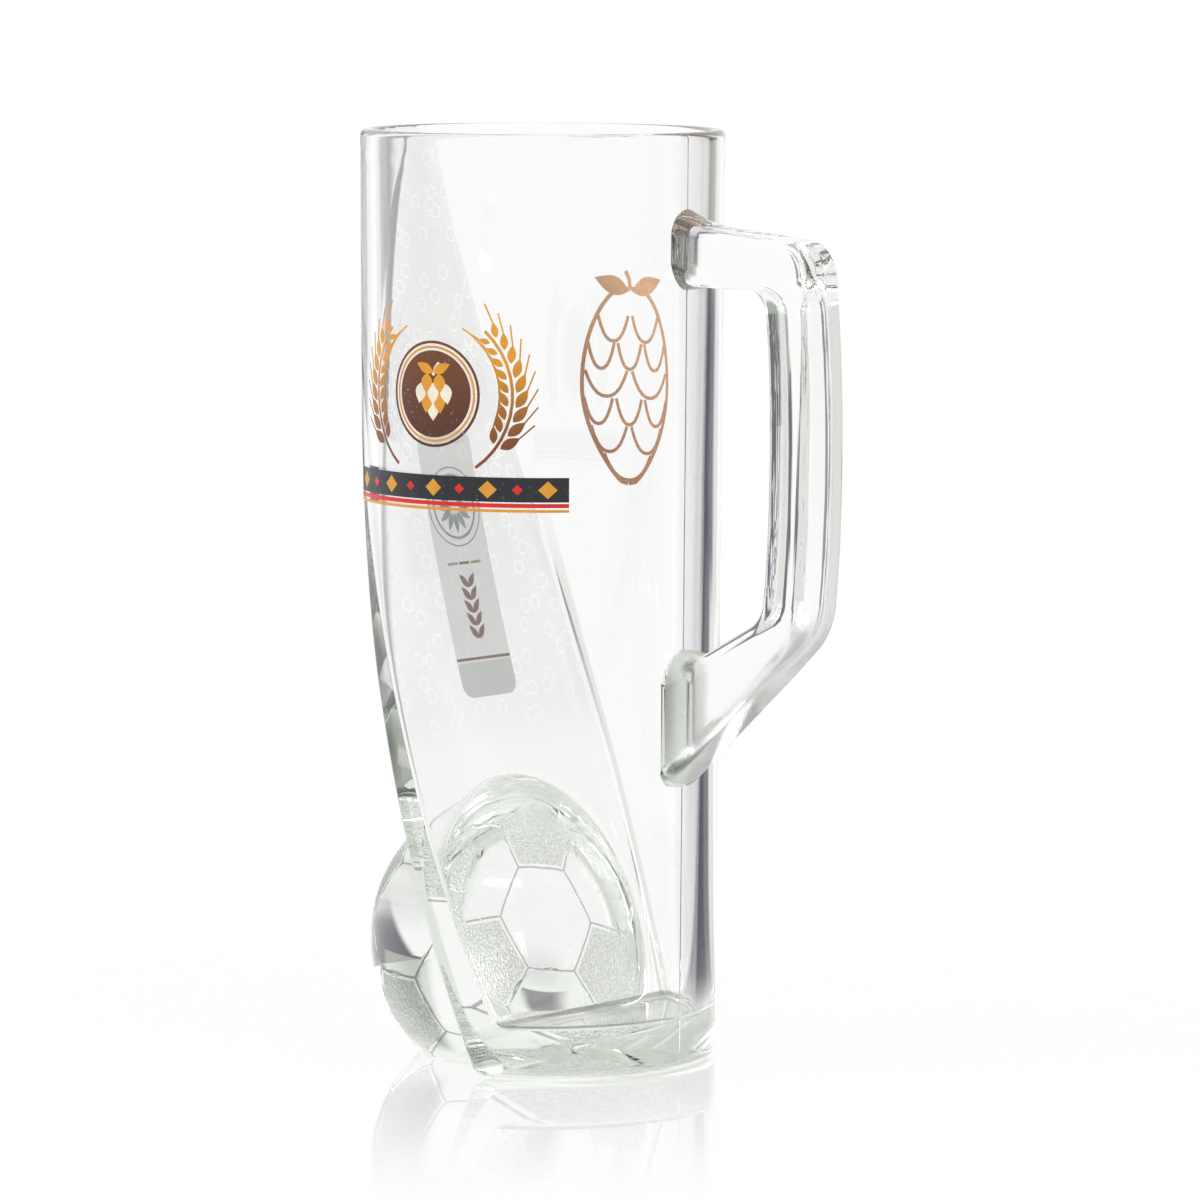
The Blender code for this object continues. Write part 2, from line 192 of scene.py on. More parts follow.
# %% Round the D
def section(radius, flat_x, corner, column):
    """The point of the D at a column, counted from the handle's side to the middle of the flat."""
    flat_x = max(flat_x, LEAST_CUT - radius)
    corner_x = flat_x + corner
    corner_y = math.sqrt((radius - corner) ** 2 - corner_x ** 2)
    joint = math.atan2(corner_y, corner_x)
    if column < len(SEAM_TURNS):
        turn = SEAM_TURNS[column]
        return radius * math.cos(turn), radius * math.sin(turn)
    if column <= ARC_COLUMNS:
        share = (column - len(SEAM_TURNS) + 1) / (ARC_COLUMNS - len(SEAM_TURNS) + 1)
        turn = SEAM_TURNS[-1] + (joint - SEAM_TURNS[-1]) * share
        return radius * math.cos(turn), radius * math.sin(turn)
    if column <= ARC_COLUMNS + CORNER_COLUMNS:
        turn = joint + (math.pi - joint) * (column - ARC_COLUMNS) / CORNER_COLUMNS
        return corner_x + corner * math.cos(turn), corner_y + corner * math.sin(turn)
    return flat_x, corner_y * (1.0 - (column - ARC_COLUMNS - CORNER_COLUMNS) / FLAT_COLUMNS)


def ring_section(z, inset, side, column):
    if side == "inside":
        flat_x = inner_flat_x(z) + inset if z <= FLAT_TOP else -RIM_RADIUS
        corner = max(LEAST_CORNER, outer_corner(z) - wall_radius(z) + bore_radius(z))
        return section(bore_radius(z) - inset, flat_x, corner, column)
    x, y = section(wall_radius(z) - inset, scoop_x(z) + inset, outer_corner(z), column)
    return (x + SEAM_HEIGHT, y) if column == 0 else (x, y)


flat_half = ring_section(FLAT_TOP, 0.0, "inside", ARC_COLUMNS + CORNER_COLUMNS)[1]
print("flat of the inner face at its top:", round(2000.0 * flat_half, 1), "mm wide")

# %% [markdown]
# ## Spinning the body
# The profile is a chain of vertices in the XZ plane, spun a full turn about Z and merged where it closes.
# An integer layer remembers which ring a vertex belongs to. Two end loops stay open, in the foot and in the
# floor, and are filled as flat faces, so the body is one watertight wall.

# %% Spin and slide
body = bmesh.new()
ring_layer = body.verts.layers.int.new("ring")
profile = []
for index, (z, inset, side) in enumerate(rings):
    radius = (bore_radius(z) if side == "inside" else wall_radius(z)) - inset
    vert = body.verts.new((radius, 0.0, z))
    vert[ring_layer] = index
    profile.append(vert)
chain = [body.edges.new(pair) for pair in zip(profile, profile[1:])]
bmesh.ops.spin(body, geom=profile + chain, cent=(0.0, 0.0, 0.0), axis=(0.0, 0.0, 1.0),
               angle=2.0 * math.pi, steps=COLUMNS, use_merge=True)
for vert in body.verts:
    z, inset, side = rings[vert[ring_layer]]
    column = round(math.atan2(vert.co.y, vert.co.x) / (2.0 * math.pi) * COLUMNS)
    x, y = ring_section(z, inset, side, abs(column))
    vert.co = (x, math.copysign(y, column), z)
bmesh.ops.holes_fill(body, edges=[edge for edge in body.edges if edge.is_boundary], sides=0)
bmesh.ops.recalc_face_normals(body, faces=body.faces[:])
print("body:", len(body.verts), "vertices,", len(body.faces), "faces")

# %% [markdown]
# ## Turning a bmesh into an object
# A short helper ends every bmesh: it makes the mesh, shades it smooth and links the object at the origin.
# Edges sharper than the given angle stay sharp.

# %% Mesh helper
SHARP = math.radians(35.0)


def finish_mesh(form, name, sharp=SHARP):
    mesh = bpy.data.meshes.new(name)
    form.to_mesh(mesh)
    form.free()
    mesh.shade_smooth()
    mesh.set_sharp_from_angle(angle=sharp)
    piece = bpy.data.objects.new(name, mesh)
    bpy.context.scene.collection.objects.link(piece)
    return piece


glass = finish_mesh(body, "glass_mug")
print(glass.name, "made with", len(glass.data.polygons), "faces")

# %% [markdown]
# ## The football relief
# The relief is a ball with the classic pattern of 12 pentagons and 20 hexagons, which is an icosahedron
# with its corners cut off. A vertex bevel of a third cuts them. Each panel is inset three times, so that
# narrow strips run along every seam. The strips at the seam's bottom take the seam glass, whose grey is
# painted shade for the dark lines of the grooves, and the pentagons the stippled one. The panels are then
# divided into small faces.

# %% Panels of the ball
BALL_RADIUS = 0.0337
BALL_CENTRE = Vector((BALL_RADIUS - FOOT_RADIUS, 0.0, 0.025))
BALL_TILT = math.radians(2.5)
SEAM_HALF = 0.00050
SEAM_DEPTH = 0.00035
# Material 2 is the seam glass, whose grey is painted shade.
SEAM_STRIPS = ((0.45, 2), (0.55, 0), (0.60, 0))
LONG_EDGE = 0.0026
PANEL_CUTS = 9

ball = bmesh.new()
bmesh.ops.create_icosphere(ball, subdivisions=1, radius=BALL_RADIUS)
bmesh.ops.bevel(ball, geom=ball.verts[:], offset=100.0 / 3.0, offset_type="PERCENT",
                affect="VERTICES", segments=1, profile=0.5, material=-1)
panel_edges = [(edge.verts[0].co.copy(), edge.verts[1].co.copy()) for edge in ball.edges]
panels = ball.faces[:]
for panel in panels:
    panel.material_index = 1 if len(panel.verts) == 5 else 0
for share, skin in SEAM_STRIPS:
    strips = bmesh.ops.inset_individual(ball, faces=panels, thickness=SEAM_HALF * share,
                                        use_even_offset=True)
    for strip in strips["faces"]:
        strip.material_index = skin
bmesh.ops.poke(ball, faces=panels)
long_edges = [edge for edge in ball.edges if edge.calc_length() > LONG_EDGE]
bmesh.ops.subdivide_edges(ball, edges=long_edges, cuts=PANEL_CUTS, use_grid_fill=True)
print("ball:", len(panels), "panels,", len(ball.faces), "faces")

# %% [markdown]
# All vertices are pushed out to the sphere, and the distance of a vertex from the nearest seam sets how deep
# it is pressed. A cosine gives the groove a round bottom and soft shoulders, as a mould leaves them. The ball
# is then turned, moved to its place, cut off inside the wall that carries it and cut flat just above the
# table.

# %% Seams, place and cuts
SCOOP_CHORD = 0.06
TABLE_CUT = Vector((0.0, 0.0, 0.0001))
DOWN = Vector((0.0, 0.0, -1.0))


def seam_distance(point):
    best = BALL_RADIUS
    for start, end in panel_edges:
        along = end - start
        share = max(0.0, min(1.0, (point - start).dot(along) / along.length_squared))
        best = min(best, (point - (start + along * share).normalized() * BALL_RADIUS).length)
    return best


def cut_and_cap(form, point, normal):
    """Cuts away what lies on the side of the normal and closes the cut with a flat face."""
    everything = form.verts[:] + form.edges[:] + form.faces[:]
    bmesh.ops.bisect_plane(form, geom=everything, dist=1e-7, plane_co=point, plane_no=normal,
                           clear_outer=True)
    bmesh.ops.holes_fill(form, edges=[edge for edge in form.edges if edge.is_boundary], sides=0)


for vert in ball.verts:
    point = vert.co.normalized() * BALL_RADIUS
    press = min(1.0, seam_distance(point) / SEAM_HALF)
    vert.co = point.normalized() * (BALL_RADIUS - SEAM_DEPTH * (0.5 + 0.5 * math.cos(math.pi * press)))
bmesh.ops.rotate(ball, verts=ball.verts[:], matrix=Matrix.Rotation(BALL_TILT, 3, "Y"))
bmesh.ops.translate(ball, verts=ball.verts[:], vec=BALL_CENTRE)
scoop_low = Vector((scoop_x(0.0), 0.0, 0.0))
scoop_high = Vector((scoop_x(SCOOP_CHORD), 0.0, SCOOP_CHORD))
along_scoop = (scoop_high - scoop_low).normalized()
into_wall = Vector((along_scoop.z, 0.0, -along_scoop.x))
cut_and_cap(ball, scoop_low + into_wall * (0.5 * SCOOP_WALL), into_wall)
cut_and_cap(ball, TABLE_CUT, DOWN)
bmesh.ops.recalc_face_normals(ball, faces=ball.faces[:])
football = finish_mesh(ball, "football")
print("ball cut, lowest point", round(min(vert.co.z for vert in football.data.vertices), 5))

# %% [markdown]
# A mould has no knife-sharp inner corner. Where the ball leaves the scoop, a soft fillet runs round it. Its
# section is a small closed outline, an arc that touches the scoop and the ball, spun about the line through
# the ball's middle that stands square on the scoop.

# %% Fillet round the ball
FILLET = 0.0035
FILLET_STEPS = 8
FILLET_TURNS = 120
FILLET_SINK = 0.0012
FILLET_EASE = 0.00012

stand_off = (scoop_low - BALL_CENTRE).dot(into_wall)
fillet_reach = math.sqrt((BALL_RADIUS + FILLET) ** 2 - (FILLET - stand_off) ** 2)
to_ball = math.atan2(stand_off - FILLET, -fillet_reach) % (2.0 * math.pi)
outline = []
for step in range(FILLET_STEPS + 1):
    turn = 1.5 * math.pi + (to_ball - 1.5 * math.pi) * step / FILLET_STEPS
    outline.append((fillet_reach + FILLET * math.cos(turn), FILLET + FILLET * math.sin(turn)))
outline.append((outline[-1][0] - FILLET_SINK, outline[-1][1]))
outline.append((outline[-1][0], -FILLET_SINK))
outline.append((fillet_reach, -FILLET_SINK))

fillet = bmesh.new()
fillet_foot = BALL_CENTRE + into_wall * (stand_off + FILLET_EASE)
points = [fillet.verts.new(fillet_foot + along_scoop * reach - into_wall * rise) for reach, rise in outline]
loop = [fillet.edges.new((points[index - 1], points[index])) for index in range(len(points))]
bmesh.ops.spin(fillet, geom=points + loop, cent=BALL_CENTRE, axis=into_wall,
               angle=2.0 * math.pi, steps=FILLET_TURNS, use_merge=True)
cut_and_cap(fillet, TABLE_CUT, DOWN)
bmesh.ops.recalc_face_normals(fillet, faces=fillet.faces[:])
fillet_ring = finish_mesh(fillet, "ball_fillet")
print("fillet:", len(fillet_ring.data.polygons), "faces, stand-off", round(1000.0 * stand_off, 2), "mm")

# %% [markdown]
# ## The handle
# From the side the handle is one drawing: a short level arm, a slightly bowed grip and a diagonal arm that
# runs back to the wall. Its corners are set down as a flat face, each with the reach of its round, and a
# vertex bevel rounds them one by one.

# %% Handle drawing
HANDLE_WIDTH = 0.0158
HANDLE_ROUND = 0.0026
BURIED = 0.0020
ARM_TOP = MUG_HEIGHT - 0.019
WINDOW_TOP = ARM_TOP - 0.014
WINDOW_FOOT = WINDOW_TOP - 0.0697
GRIP_INNER = RIM_RADIUS + 0.0250
GRIP_OUTER = GRIP_INNER + 0.0102
GRIP_BOW = 0.0031
GRIP_MIDDLE = (WINDOW_TOP + WINDOW_FOOT) / 2.0
SHOULDER = ARM_TOP - 0.004
HEEL = WINDOW_FOOT - 0.0039
SILL_SLOPE = math.tan(math.radians(28.0))
LOWER_ROOT = 0.07
CORNER_STEPS = 10

root_end = wall_radius(ARM_TOP) - BURIED
foot_end = wall_radius(LOWER_ROOT) - BURIED
handle_corners = [
    (root_end, ARM_TOP, 0.0),
    (GRIP_OUTER, SHOULDER, 0.0064),
    (GRIP_OUTER + GRIP_BOW, GRIP_MIDDLE, 0.0260),
    (GRIP_OUTER, HEEL, 0.0058),
    (foot_end, HEEL + 0.0010 - (GRIP_OUTER - foot_end), 0.0),
    (foot_end, WINDOW_FOOT - (GRIP_INNER + 0.0012 - foot_end) * SILL_SLOPE, 0.0),
    (GRIP_INNER, WINDOW_FOOT - 0.0006, 0.0032),
    (GRIP_INNER + GRIP_BOW, GRIP_MIDDLE, 0.0260),
    (GRIP_INNER, WINDOW_TOP, 0.0050),
    (root_end, WINDOW_TOP, 0.0),
]

drawing = bmesh.new()
outline = [drawing.verts.new((x, -HANDLE_WIDTH / 2.0, z)) for x, z, reach in handle_corners]
drawing.faces.new(outline)
for vert, (x, z, reach) in zip(outline, handle_corners):
    if reach > 0.0:
        bmesh.ops.bevel(drawing, geom=[vert], offset=reach, offset_type="OFFSET", affect="VERTICES",
                        segments=CORNER_STEPS, profile=0.5, material=-1)
print("handle drawing:", len(drawing.verts), "points")

# %% [markdown]
# The drawing is extruded to the handle's width, its long edges are rounded, and cuts along all three axes
# give it vertices to bend.

# %% Handle solid
ROOT_X = RIM_RADIUS + 0.0068
ROUND_STEPS = 6
ROOT_CUTS = (-0.0052, -0.0026, -0.0005, 0.0, 0.0005)
ARM_CUT_STEP = 0.0015
GRIP_CUT_STEP = 0.006
FAR = 1.0
HAIR = 0.0001

front = drawing.faces[:]
grown = bmesh.ops.extrude_face_region(drawing, geom=front, use_keep_orig=True)
moved = [item for item in grown["geom"] if isinstance(item, bmesh.types.BMVert)]
bmesh.ops.translate(drawing, verts=moved, vec=(0.0, HANDLE_WIDTH, 0.0))
bmesh.ops.recalc_face_normals(drawing, faces=drawing.faces[:])
long_edges = [edge for edge in drawing.edges if abs(edge.verts[0].co.y - edge.verts[1].co.y) < 1e-6]
bmesh.ops.bevel(drawing, geom=long_edges, offset=HANDLE_ROUND, offset_type="OFFSET", affect="EDGES",
                segments=ROUND_STEPS, profile=0.5, material=-1, clamp_overlap=True)
cuts = [(0, ROOT_X + shift, -FAR, FAR) for shift in ROOT_CUTS]
cuts += [(0, GRIP_INNER, -FAR, FAR)]
cuts += [(1, ARM_CUT_STEP * step, -FAR, ROOT_X + HAIR) for step in range(-3, 4)]
cuts += [(2, GRIP_MIDDLE + GRIP_CUT_STEP * step, GRIP_INNER - HAIR, FAR) for step in range(-2, 6)]
for axis, place, low_x, high_x in cuts:
    normal = Vector([float(axis == index) for index in range(3)])
    near = [face for face in drawing.faces if all(low_x <= vert.co.x <= high_x for vert in face.verts)]
    near_edges = list({edge for face in near for edge in face.edges})
    near_verts = list({vert for face in near for vert in face.verts})
    bmesh.ops.bisect_plane(drawing, geom=near + near_edges + near_verts, dist=1e-6,
                           plane_co=normal * place, plane_no=normal)
print("handle:", len(drawing.faces), "faces after the cuts")

# %% [markdown]
# The arms taper towards the wall, and the upper one is the thinner. Each root then spreads out over the
# last few millimetres, most of all in the handle's plane, so that it meets the wall as a rounded pad. A pad
# has a middle height, and says how far its middle and its sides are moved above and below that height. The
# ends reach a little way into the wall, where the union joins them to it.

# %% Taper and roots
UPPER_FROM = (GRIP_MIDDLE - 0.01, WINDOW_TOP - 0.005)
UPPER_NARROWER = 0.04
ARM_TAPER = 0.20
UPPER_TAPER = 0.06
LOWER_FLARE = 0.11
PAD_EASE = 0.006
MOST_SPREAD = 1.3
UPPER_PAD = ((WINDOW_TOP + ARM_TOP) / 2.0, 0.0028, -0.0008, 0.0010, -0.0038)
LOWER_PAD = (0.0770, 0.0049, -0.0003, 0.0002, -0.0015)

for vert in drawing.verts:
    x, y, z = vert.co
    across = min(1.0, abs(y) / (HANDLE_WIDTH / 2.0))
    upper = ramp(z, *UPPER_FROM)
    inward = max(0.0, min(1.0, (GRIP_INNER - x) / (GRIP_INNER - ROOT_X)))
    spread = max(0.0, (ROOT_X - x) / (ROOT_X - RIM_RADIUS))
    width = 1.0 - UPPER_NARROWER * upper - (ARM_TAPER + UPPER_TAPER * upper) * inward
    width += LOWER_FLARE * (1.0 - upper) * spread
    pad = UPPER_PAD if z > GRIP_MIDDLE else LOWER_PAD
    pad_height, middle_up, side_up, middle_down, side_down = pad
    middle, side = (middle_up, side_up) if z > pad_height else (-middle_down, -side_down)
    lift = middle + (side - middle) * across * across
    reach = min(1.0, abs(z - pad_height) / PAD_EASE)
    vert.co = (x, y * width, z + lift * reach * min(MOST_SPREAD, spread))
bmesh.ops.recalc_face_normals(drawing, faces=drawing.faces[:])
handle = finish_mesh(drawing, "handle_form")
print("handle:", len(handle.data.polygons), "faces")

# %% [markdown]
# ## Wiring nodes
# Materials here are small node trees. A short class keeps their wiring readable: it adds a node, feeds its
# sockets with a value or a link, and hands back the output. A step rises smoothly between two values, a fall
# is its mirror image, and between joins the two.

# %% Wiring helper
WHITE = (1.0, 1.0, 1.0, 1.0)


class Wiring:
    """Short calls that add nodes to one tree and link them."""

    def __init__(self, tree):
        self.nodes = tree.nodes
        self.links = tree.links

    def feed(self, socket, value):
        if isinstance(value, bpy.types.NodeSocket):
            self.links.new(value, socket)
        elif value is not None:
            socket.default_value = value

    def add(self, kind, **inputs):
        node = self.nodes.new(f"ShaderNode{kind}")
        for name, value in inputs.items():
            self.feed(node.inputs[name], value)
        return node

    def axes(self, vector):
        return self.add("SeparateXYZ", Vector=vector).outputs[:]

    def calc(self, operation, first, second=None):
        node = self.add("Math")
        node.operation = operation
        self.feed(node.inputs[0], first)
        self.feed(node.inputs[1], second)
        return node.outputs[0]

    def times(self, first, *others):
        for other in others:
            first = self.calc("MULTIPLY", first, other)
        return first

    def most(self, first, second):
        return self.calc("MAXIMUM", first, second)

    def step(self, value, low, high, start=0.0, end=1.0):
        node = self.add("MapRange")
        node.interpolation_type = "SMOOTHSTEP"
        for socket, setting in zip(node.inputs, (value, low, high, start, end)):
            self.feed(socket, setting)
        return node.outputs["Result"]

    def fall(self, value, low, high):
        return self.step(value, low, high, 1.0, 0.0)

    def between(self, value, low, full, fading, gone):
        return self.times(self.step(value, low, full), self.fall(value, fading, gone))

    def blend(self, factor, first, second):
        node = self.add("Mix")
        node.data_type = "RGBA"
        self.feed(node.inputs["Factor"], factor)
        self.feed(node.inputs[6], first)
        self.feed(node.inputs[7], second)
        return node.outputs[2]

    def mix_shader(self, factor, first, second):
        node = self.add("MixShader")
        for socket, value in zip(node.inputs, (factor, first.outputs[0], second.outputs[0])):
            self.feed(socket, value)
        return node


print("wiring calls:", [name for name in vars(Wiring) if not name.startswith("_")])

# %% [markdown]
# ## Clear glass
# Soda-lime glass bends light with an index of 1.52 and is faintly green where it is thick. A Principled
# shader with full transmission does the bending, and a plain absorption inside gives the tint. A slow,
# shallow wave in the normal stands for the uneven skin of pressed glass. The pentagons of the ball are
# stippled, with a fine deep wave and a speckled tint. The bottoms of its seams get a grey base colour, a
# painted shade for the dark lines that the grooves show.

# %% Glass materials
GLASS_INDEX = 1.52
GLASS_GREEN = (0.88, 0.905, 0.87, 1.0)
GLASS_DENSITY = 7.0
# Painted shade: the grey of the seams' bottoms.
SEAM_SHADE = (0.38, 0.39, 0.38, 1.0)
SPECKLE = {"From Min": 0.44, "From Max": 0.60, "To Min": 0.62, "To Max": 1.0}


def glass_material(name, wave_scale, wave_height, roughness):
    """Makes a glass and hands it back with its wiring, shader, wave and the bump that the wave feeds."""
    material = bpy.data.materials.new(name)
    material.use_nodes = True
    wire = Wiring(material.node_tree)
    shader = wire.nodes["Principled BSDF"]
    settings = {"Base Color": WHITE, "Roughness": roughness, "IOR": GLASS_INDEX, "Transmission Weight": 1.0}
    for socket, value in settings.items():
        shader.inputs[socket].default_value = value
    place = wire.add("TexCoord").outputs["Object"]
    wave = wire.add("TexNoise", Vector=place, Scale=wave_scale, Detail=1.0).outputs["Fac"]
    bump = wire.add("Bump", Strength=1.0, Distance=wave_height, Height=wave)
    wire.feed(shader.inputs["Normal"], bump.outputs["Normal"])
    tint = wire.add("VolumeAbsorption", Color=GLASS_GREEN, Density=GLASS_DENSITY)
    wire.feed(wire.nodes["Material Output"].inputs["Volume"], tint.outputs["Volume"])
    return material, wire, shader, wave, bump


stippled_glass, wire, shader, speckle, bump = glass_material("stippled_glass", 1700.0, 0.0004, 0.08)
wire.feed(shader.inputs["Base Color"], wire.add("MapRange", Value=speckle, **SPECKLE).outputs["Result"])
seam_shade_glass, wire, shader, wave, bump = glass_material("seam_shade_glass", 300.0, 0.0001, 0.1)
shader.inputs["Base Color"].default_value = SEAM_SHADE
clear_glass, wire, shader, wave, bump = glass_material("clear_glass", 30.0, 0.00005, 0.0)
for form in (glass, football, fillet_ring, handle):
    for material in (clear_glass, stippled_glass, seam_shade_glass):
        form.data.materials.append(material)
stippled_faces = sum(face.material_index == 1 for face in football.data.polygons)
print("glass:", stippled_faces, "stippled faces on the ball")

# %% [markdown]
# A pressing is not equally bright all over. Where the mould opens, at the lower root of the handle and along
# the underside of its lower arm, the skin stays softer, and the foot is worn. Soft masks on the Object
# coordinates set the roughness there, and a tint at the lower root, on the slab of the base and along the
# edge of the scoop's wall, which is seen end-on. These places are thick, so the tint is partly the green of
# thick glass and partly painted shade, a grey-green darkening of the glass in these places.

# %% Softer roots and foot, and painted shade at the roots, the slab and the scoop's edge
ROOT_ROUGHNESS = 0.30
FOOT_ROUGHNESS = 0.05
# Painted shade: these three tints darken the glass at the lower root, the slab and the scoop's edge, partly
# as the green of thick glass.
ROOT_GREEN_AND_SHADE = (0.68, 0.72, 0.655, 1.0)
SLAB_GREEN_AND_SHADE = (0.88, 0.92, 0.865, 1.0)
EDGE_GREEN_AND_SHADE = (0.64, 0.69, 0.62, 1.0)
UNDERSIDE_DEPTH = (0.0015, 0.0080)
LOWER_ROOT_TOP = (GRIP_MIDDLE - 0.041, GRIP_MIDDLE - 0.031)
FOOT_WEAR = (0.0002, 0.0008)
EDGE_ACROSS = (0.0004, 0.0012, SCOOP_WALL - 0.0010, SCOOP_WALL - 0.0002)
EDGE_FADE = (0.095, 0.130)

place = wire.add("TexCoord").outputs["Object"]
at_x, at_y, at_z = wire.axes(place)
over_arm = wire.calc("SUBTRACT", wire.calc("SUBTRACT", at_z, at_x), HEEL - GRIP_OUTER)
outside = wire.step(at_x, RIM_RADIUS - 0.0006, RIM_RADIUS)
lower_root = wire.times(wire.fall(at_x, ROOT_X - 0.0028, ROOT_X), wire.fall(at_z, *LOWER_ROOT_TOP), outside)
soft = wire.most(lower_root, wire.times(wire.fall(over_arm, *UNDERSIDE_DEPTH), outside))
worn = wire.step(at_z, *FOOT_WEAR, FOOT_ROUGHNESS, 0.0)
wire.feed(shader.inputs["Roughness"], wire.most(wire.times(soft, ROOT_ROUGHNESS), worn))

# The colour built below is painted shade in the thick places, partly the green of thick glass.
slab = wire.fall(at_z, FLOOR_TOP - 0.002, FLOOR_TOP)
thick_green_and_shade = wire.blend(lower_root, wire.blend(slab, WHITE, SLAB_GREEN_AND_SHADE), ROOT_GREEN_AND_SHADE)
drop = wire.calc("DIVIDE", wire.most(wire.calc("SUBTRACT", SCOOP_TOP, at_z), 0.0), SCOOP_TOP)
scoop_face = wire.times(wire.calc("POWER", drop, SCOOP_POWER), SCOOP_DEPTH)
behind = wire.calc("SUBTRACT", at_x, wire.calc("SUBTRACT", scoop_face, RIM_RADIUS))
scoop_edge = wire.times(wire.between(behind, *EDGE_ACROSS), wire.fall(at_z, *EDGE_FADE))
thick_green_and_shade = wire.blend(scoop_edge, thick_green_and_shade, EDGE_GREEN_AND_SHADE)
print("clear glass:", len(wire.nodes), "nodes")

# %% [markdown]
# Through the near wall the floor of the bore is seen almost edge-on, as a grey lens with a thin dark rim.
# The plunger leaves it uneven, and the small round at its edge bends the light away. Refraction alone shows
# little of that, so a mask paints the shade into the glass: a swirled grey on the floor, and a darker rim of
# painted shade on its round.

# %% Floor of the bore
# Painted shade for the floor of the bore: a swirled grey, and a dark rim on its round.
PAINTED_FLOOR_GREY = (0.72, 0.72, 0.70, 1.0)
PAINTED_FLOOR_SWIRL = (0.46, 0.46, 0.455, 1.0)
PAINTED_FLOOR_RIM = (0.22, 0.22, 0.22, 1.0)
ON_FLOOR = (FLOOR_TOP - 0.0006, FLOOR_TOP - 0.0002, FLOOR_TOP + 0.0001, FLOOR_TOP + 0.0003)
ON_ROUND = (FLOOR_TOP + 0.0001, FLOOR_TOP + 0.0003, FLOOR_TOP + 0.0009, FLOOR_TOP + FLOOR_ROUND)

floor_radius = bore_radius(FLOOR_TOP)
from_axis = wire.calc("SQRT", wire.calc("ADD", wire.times(at_x, at_x), wire.times(at_y, at_y)))
in_bore = wire.times(wire.fall(from_axis, floor_radius + 0.0004, floor_radius + 0.0010),
                     wire.step(behind, SCOOP_WALL - 0.0012, SCOOP_WALL - 0.0004))
swirl = wire.add("TexNoise", Vector=place, Scale=70.0, Detail=2.0, Distortion=1.5).outputs["Fac"]
grey = wire.blend(wire.step(swirl, 0.32, 0.68), PAINTED_FLOOR_SWIRL, PAINTED_FLOOR_GREY)
thick_green_and_shade = wire.blend(wire.times(in_bore, wire.between(at_z, *ON_FLOOR)), thick_green_and_shade, grey)
thick_green_and_shade = wire.blend(wire.times(in_bore, wire.between(at_z, *ON_ROUND)), thick_green_and_shade, PAINTED_FLOOR_RIM)
wire.feed(shader.inputs["Base Color"], thick_green_and_shade)
print("floor of the bore:", round(2000.0 * floor_radius, 1), "mm across")

# %% [markdown]
# The inner face of the grip is streaked along its length, because the mould's core is drawn out that way. A
# noise stretched along Z makes the streaks. A mask keeps them on that face, and both waves share one bump.

# %% Streaks inside the grip
STREAK_SHARE = 1.1
STREAK_STRETCH = (1.0, 1.0, 0.02)
GRIP_FACE = (GRIP_INNER - 0.0030, GRIP_INNER - 0.0010, GRIP_INNER + 0.0040, GRIP_INNER + 0.0065)
GRIP_HEIGHT = (WINDOW_FOOT, WINDOW_FOOT + 0.006, WINDOW_TOP - 0.006, WINDOW_TOP)

stretched = wire.add("Mapping", Vector=place, Scale=STREAK_STRETCH).outputs["Vector"]
streaks = wire.add("TexNoise", Vector=stretched, Scale=1400.0, Detail=1.0).outputs["Fac"]
drawn = wire.times(wire.between(at_x, *GRIP_FACE), wire.between(at_z, *GRIP_HEIGHT), STREAK_SHARE)
wire.feed(bump.inputs["Height"], wire.calc("ADD", wave, wire.times(streaks, drawn)))
print("grip streaks:", len(wire.nodes), "nodes in the clear glass")

# %% [markdown]
# ## One pressing
# Two closed glass forms that only touch show a false mirror where they meet, because light would leave one
# and enter the other. So the ball and the handle are joined to the body by exact unions, and the result is
# kept as one mesh. Its doubles are merged, and a Weighted Normal modifier lets the broad faces rule the
# shading.

# %% Union
WELD = 5e-7

for form in (football, fillet_ring, handle):
    union = glass.modifiers.new(f"join_{form.name}", "BOOLEAN")
    union.operation = "UNION"
    union.solver = "EXACT"
    union.object = form
bpy.context.view_layer.update()
joined = bpy.data.meshes.new_from_object(glass.evaluated_get(bpy.context.evaluated_depsgraph_get()))
glass.modifiers.clear()
glass.data = joined
for form in (football, fillet_ring, handle):
    bpy.data.objects.remove(form)
joined.shade_smooth()
joined.set_sharp_from_angle(angle=SHARP)
weighted = glass.modifiers.new("broad_faces_first", "WEIGHTED_NORMAL")
weighted.keep_sharp = True
check = bmesh.new()
check.from_mesh(joined)
bmesh.ops.remove_doubles(check, verts=check.verts[:], dist=WELD)
bmesh.ops.dissolve_degenerate(check, edges=check.edges[:], dist=WELD)
check.to_mesh(joined)
open_edges = sum(not edge.is_manifold for edge in check.edges)
volume = check.calc_volume() * 1e6
print(f"pressing: {len(check.faces)} faces, {open_edges} open edges, {volume:.1f} cm3")
check.free()

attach(glass, "root")
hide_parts("barrel", "base", "ball", "handle")
print("glass:", sum(face.material_index == 1 for face in joined.polygons), "stippled faces")

# %% [markdown]
# ## Fired prints
# The prints are ceramic ink, screened on the cold glass and fired until it melts to it. Each one is drawn
# flat, in (u, v) metres with a little thickness w, from circles, leaves and strips. The drawing is cut into
# narrow cells and laid on the wall or on the scoop, half sunk in the surface, so that no air gap shows.

# %% Laying a flat drawing on the glass
INK = 0.00003
CELL_U = 0.0015
CELL_V = 0.003
PRINT_SHARP = math.radians(50.0)


def on_wall(azimuth, height):
    def place(u, v, w):
        z = height + v
        turn = azimuth + u / wall_radius(height)
        radius = wall_radius(z) + w
        return Vector((radius * math.cos(turn), radius * math.sin(turn), z))
    return place


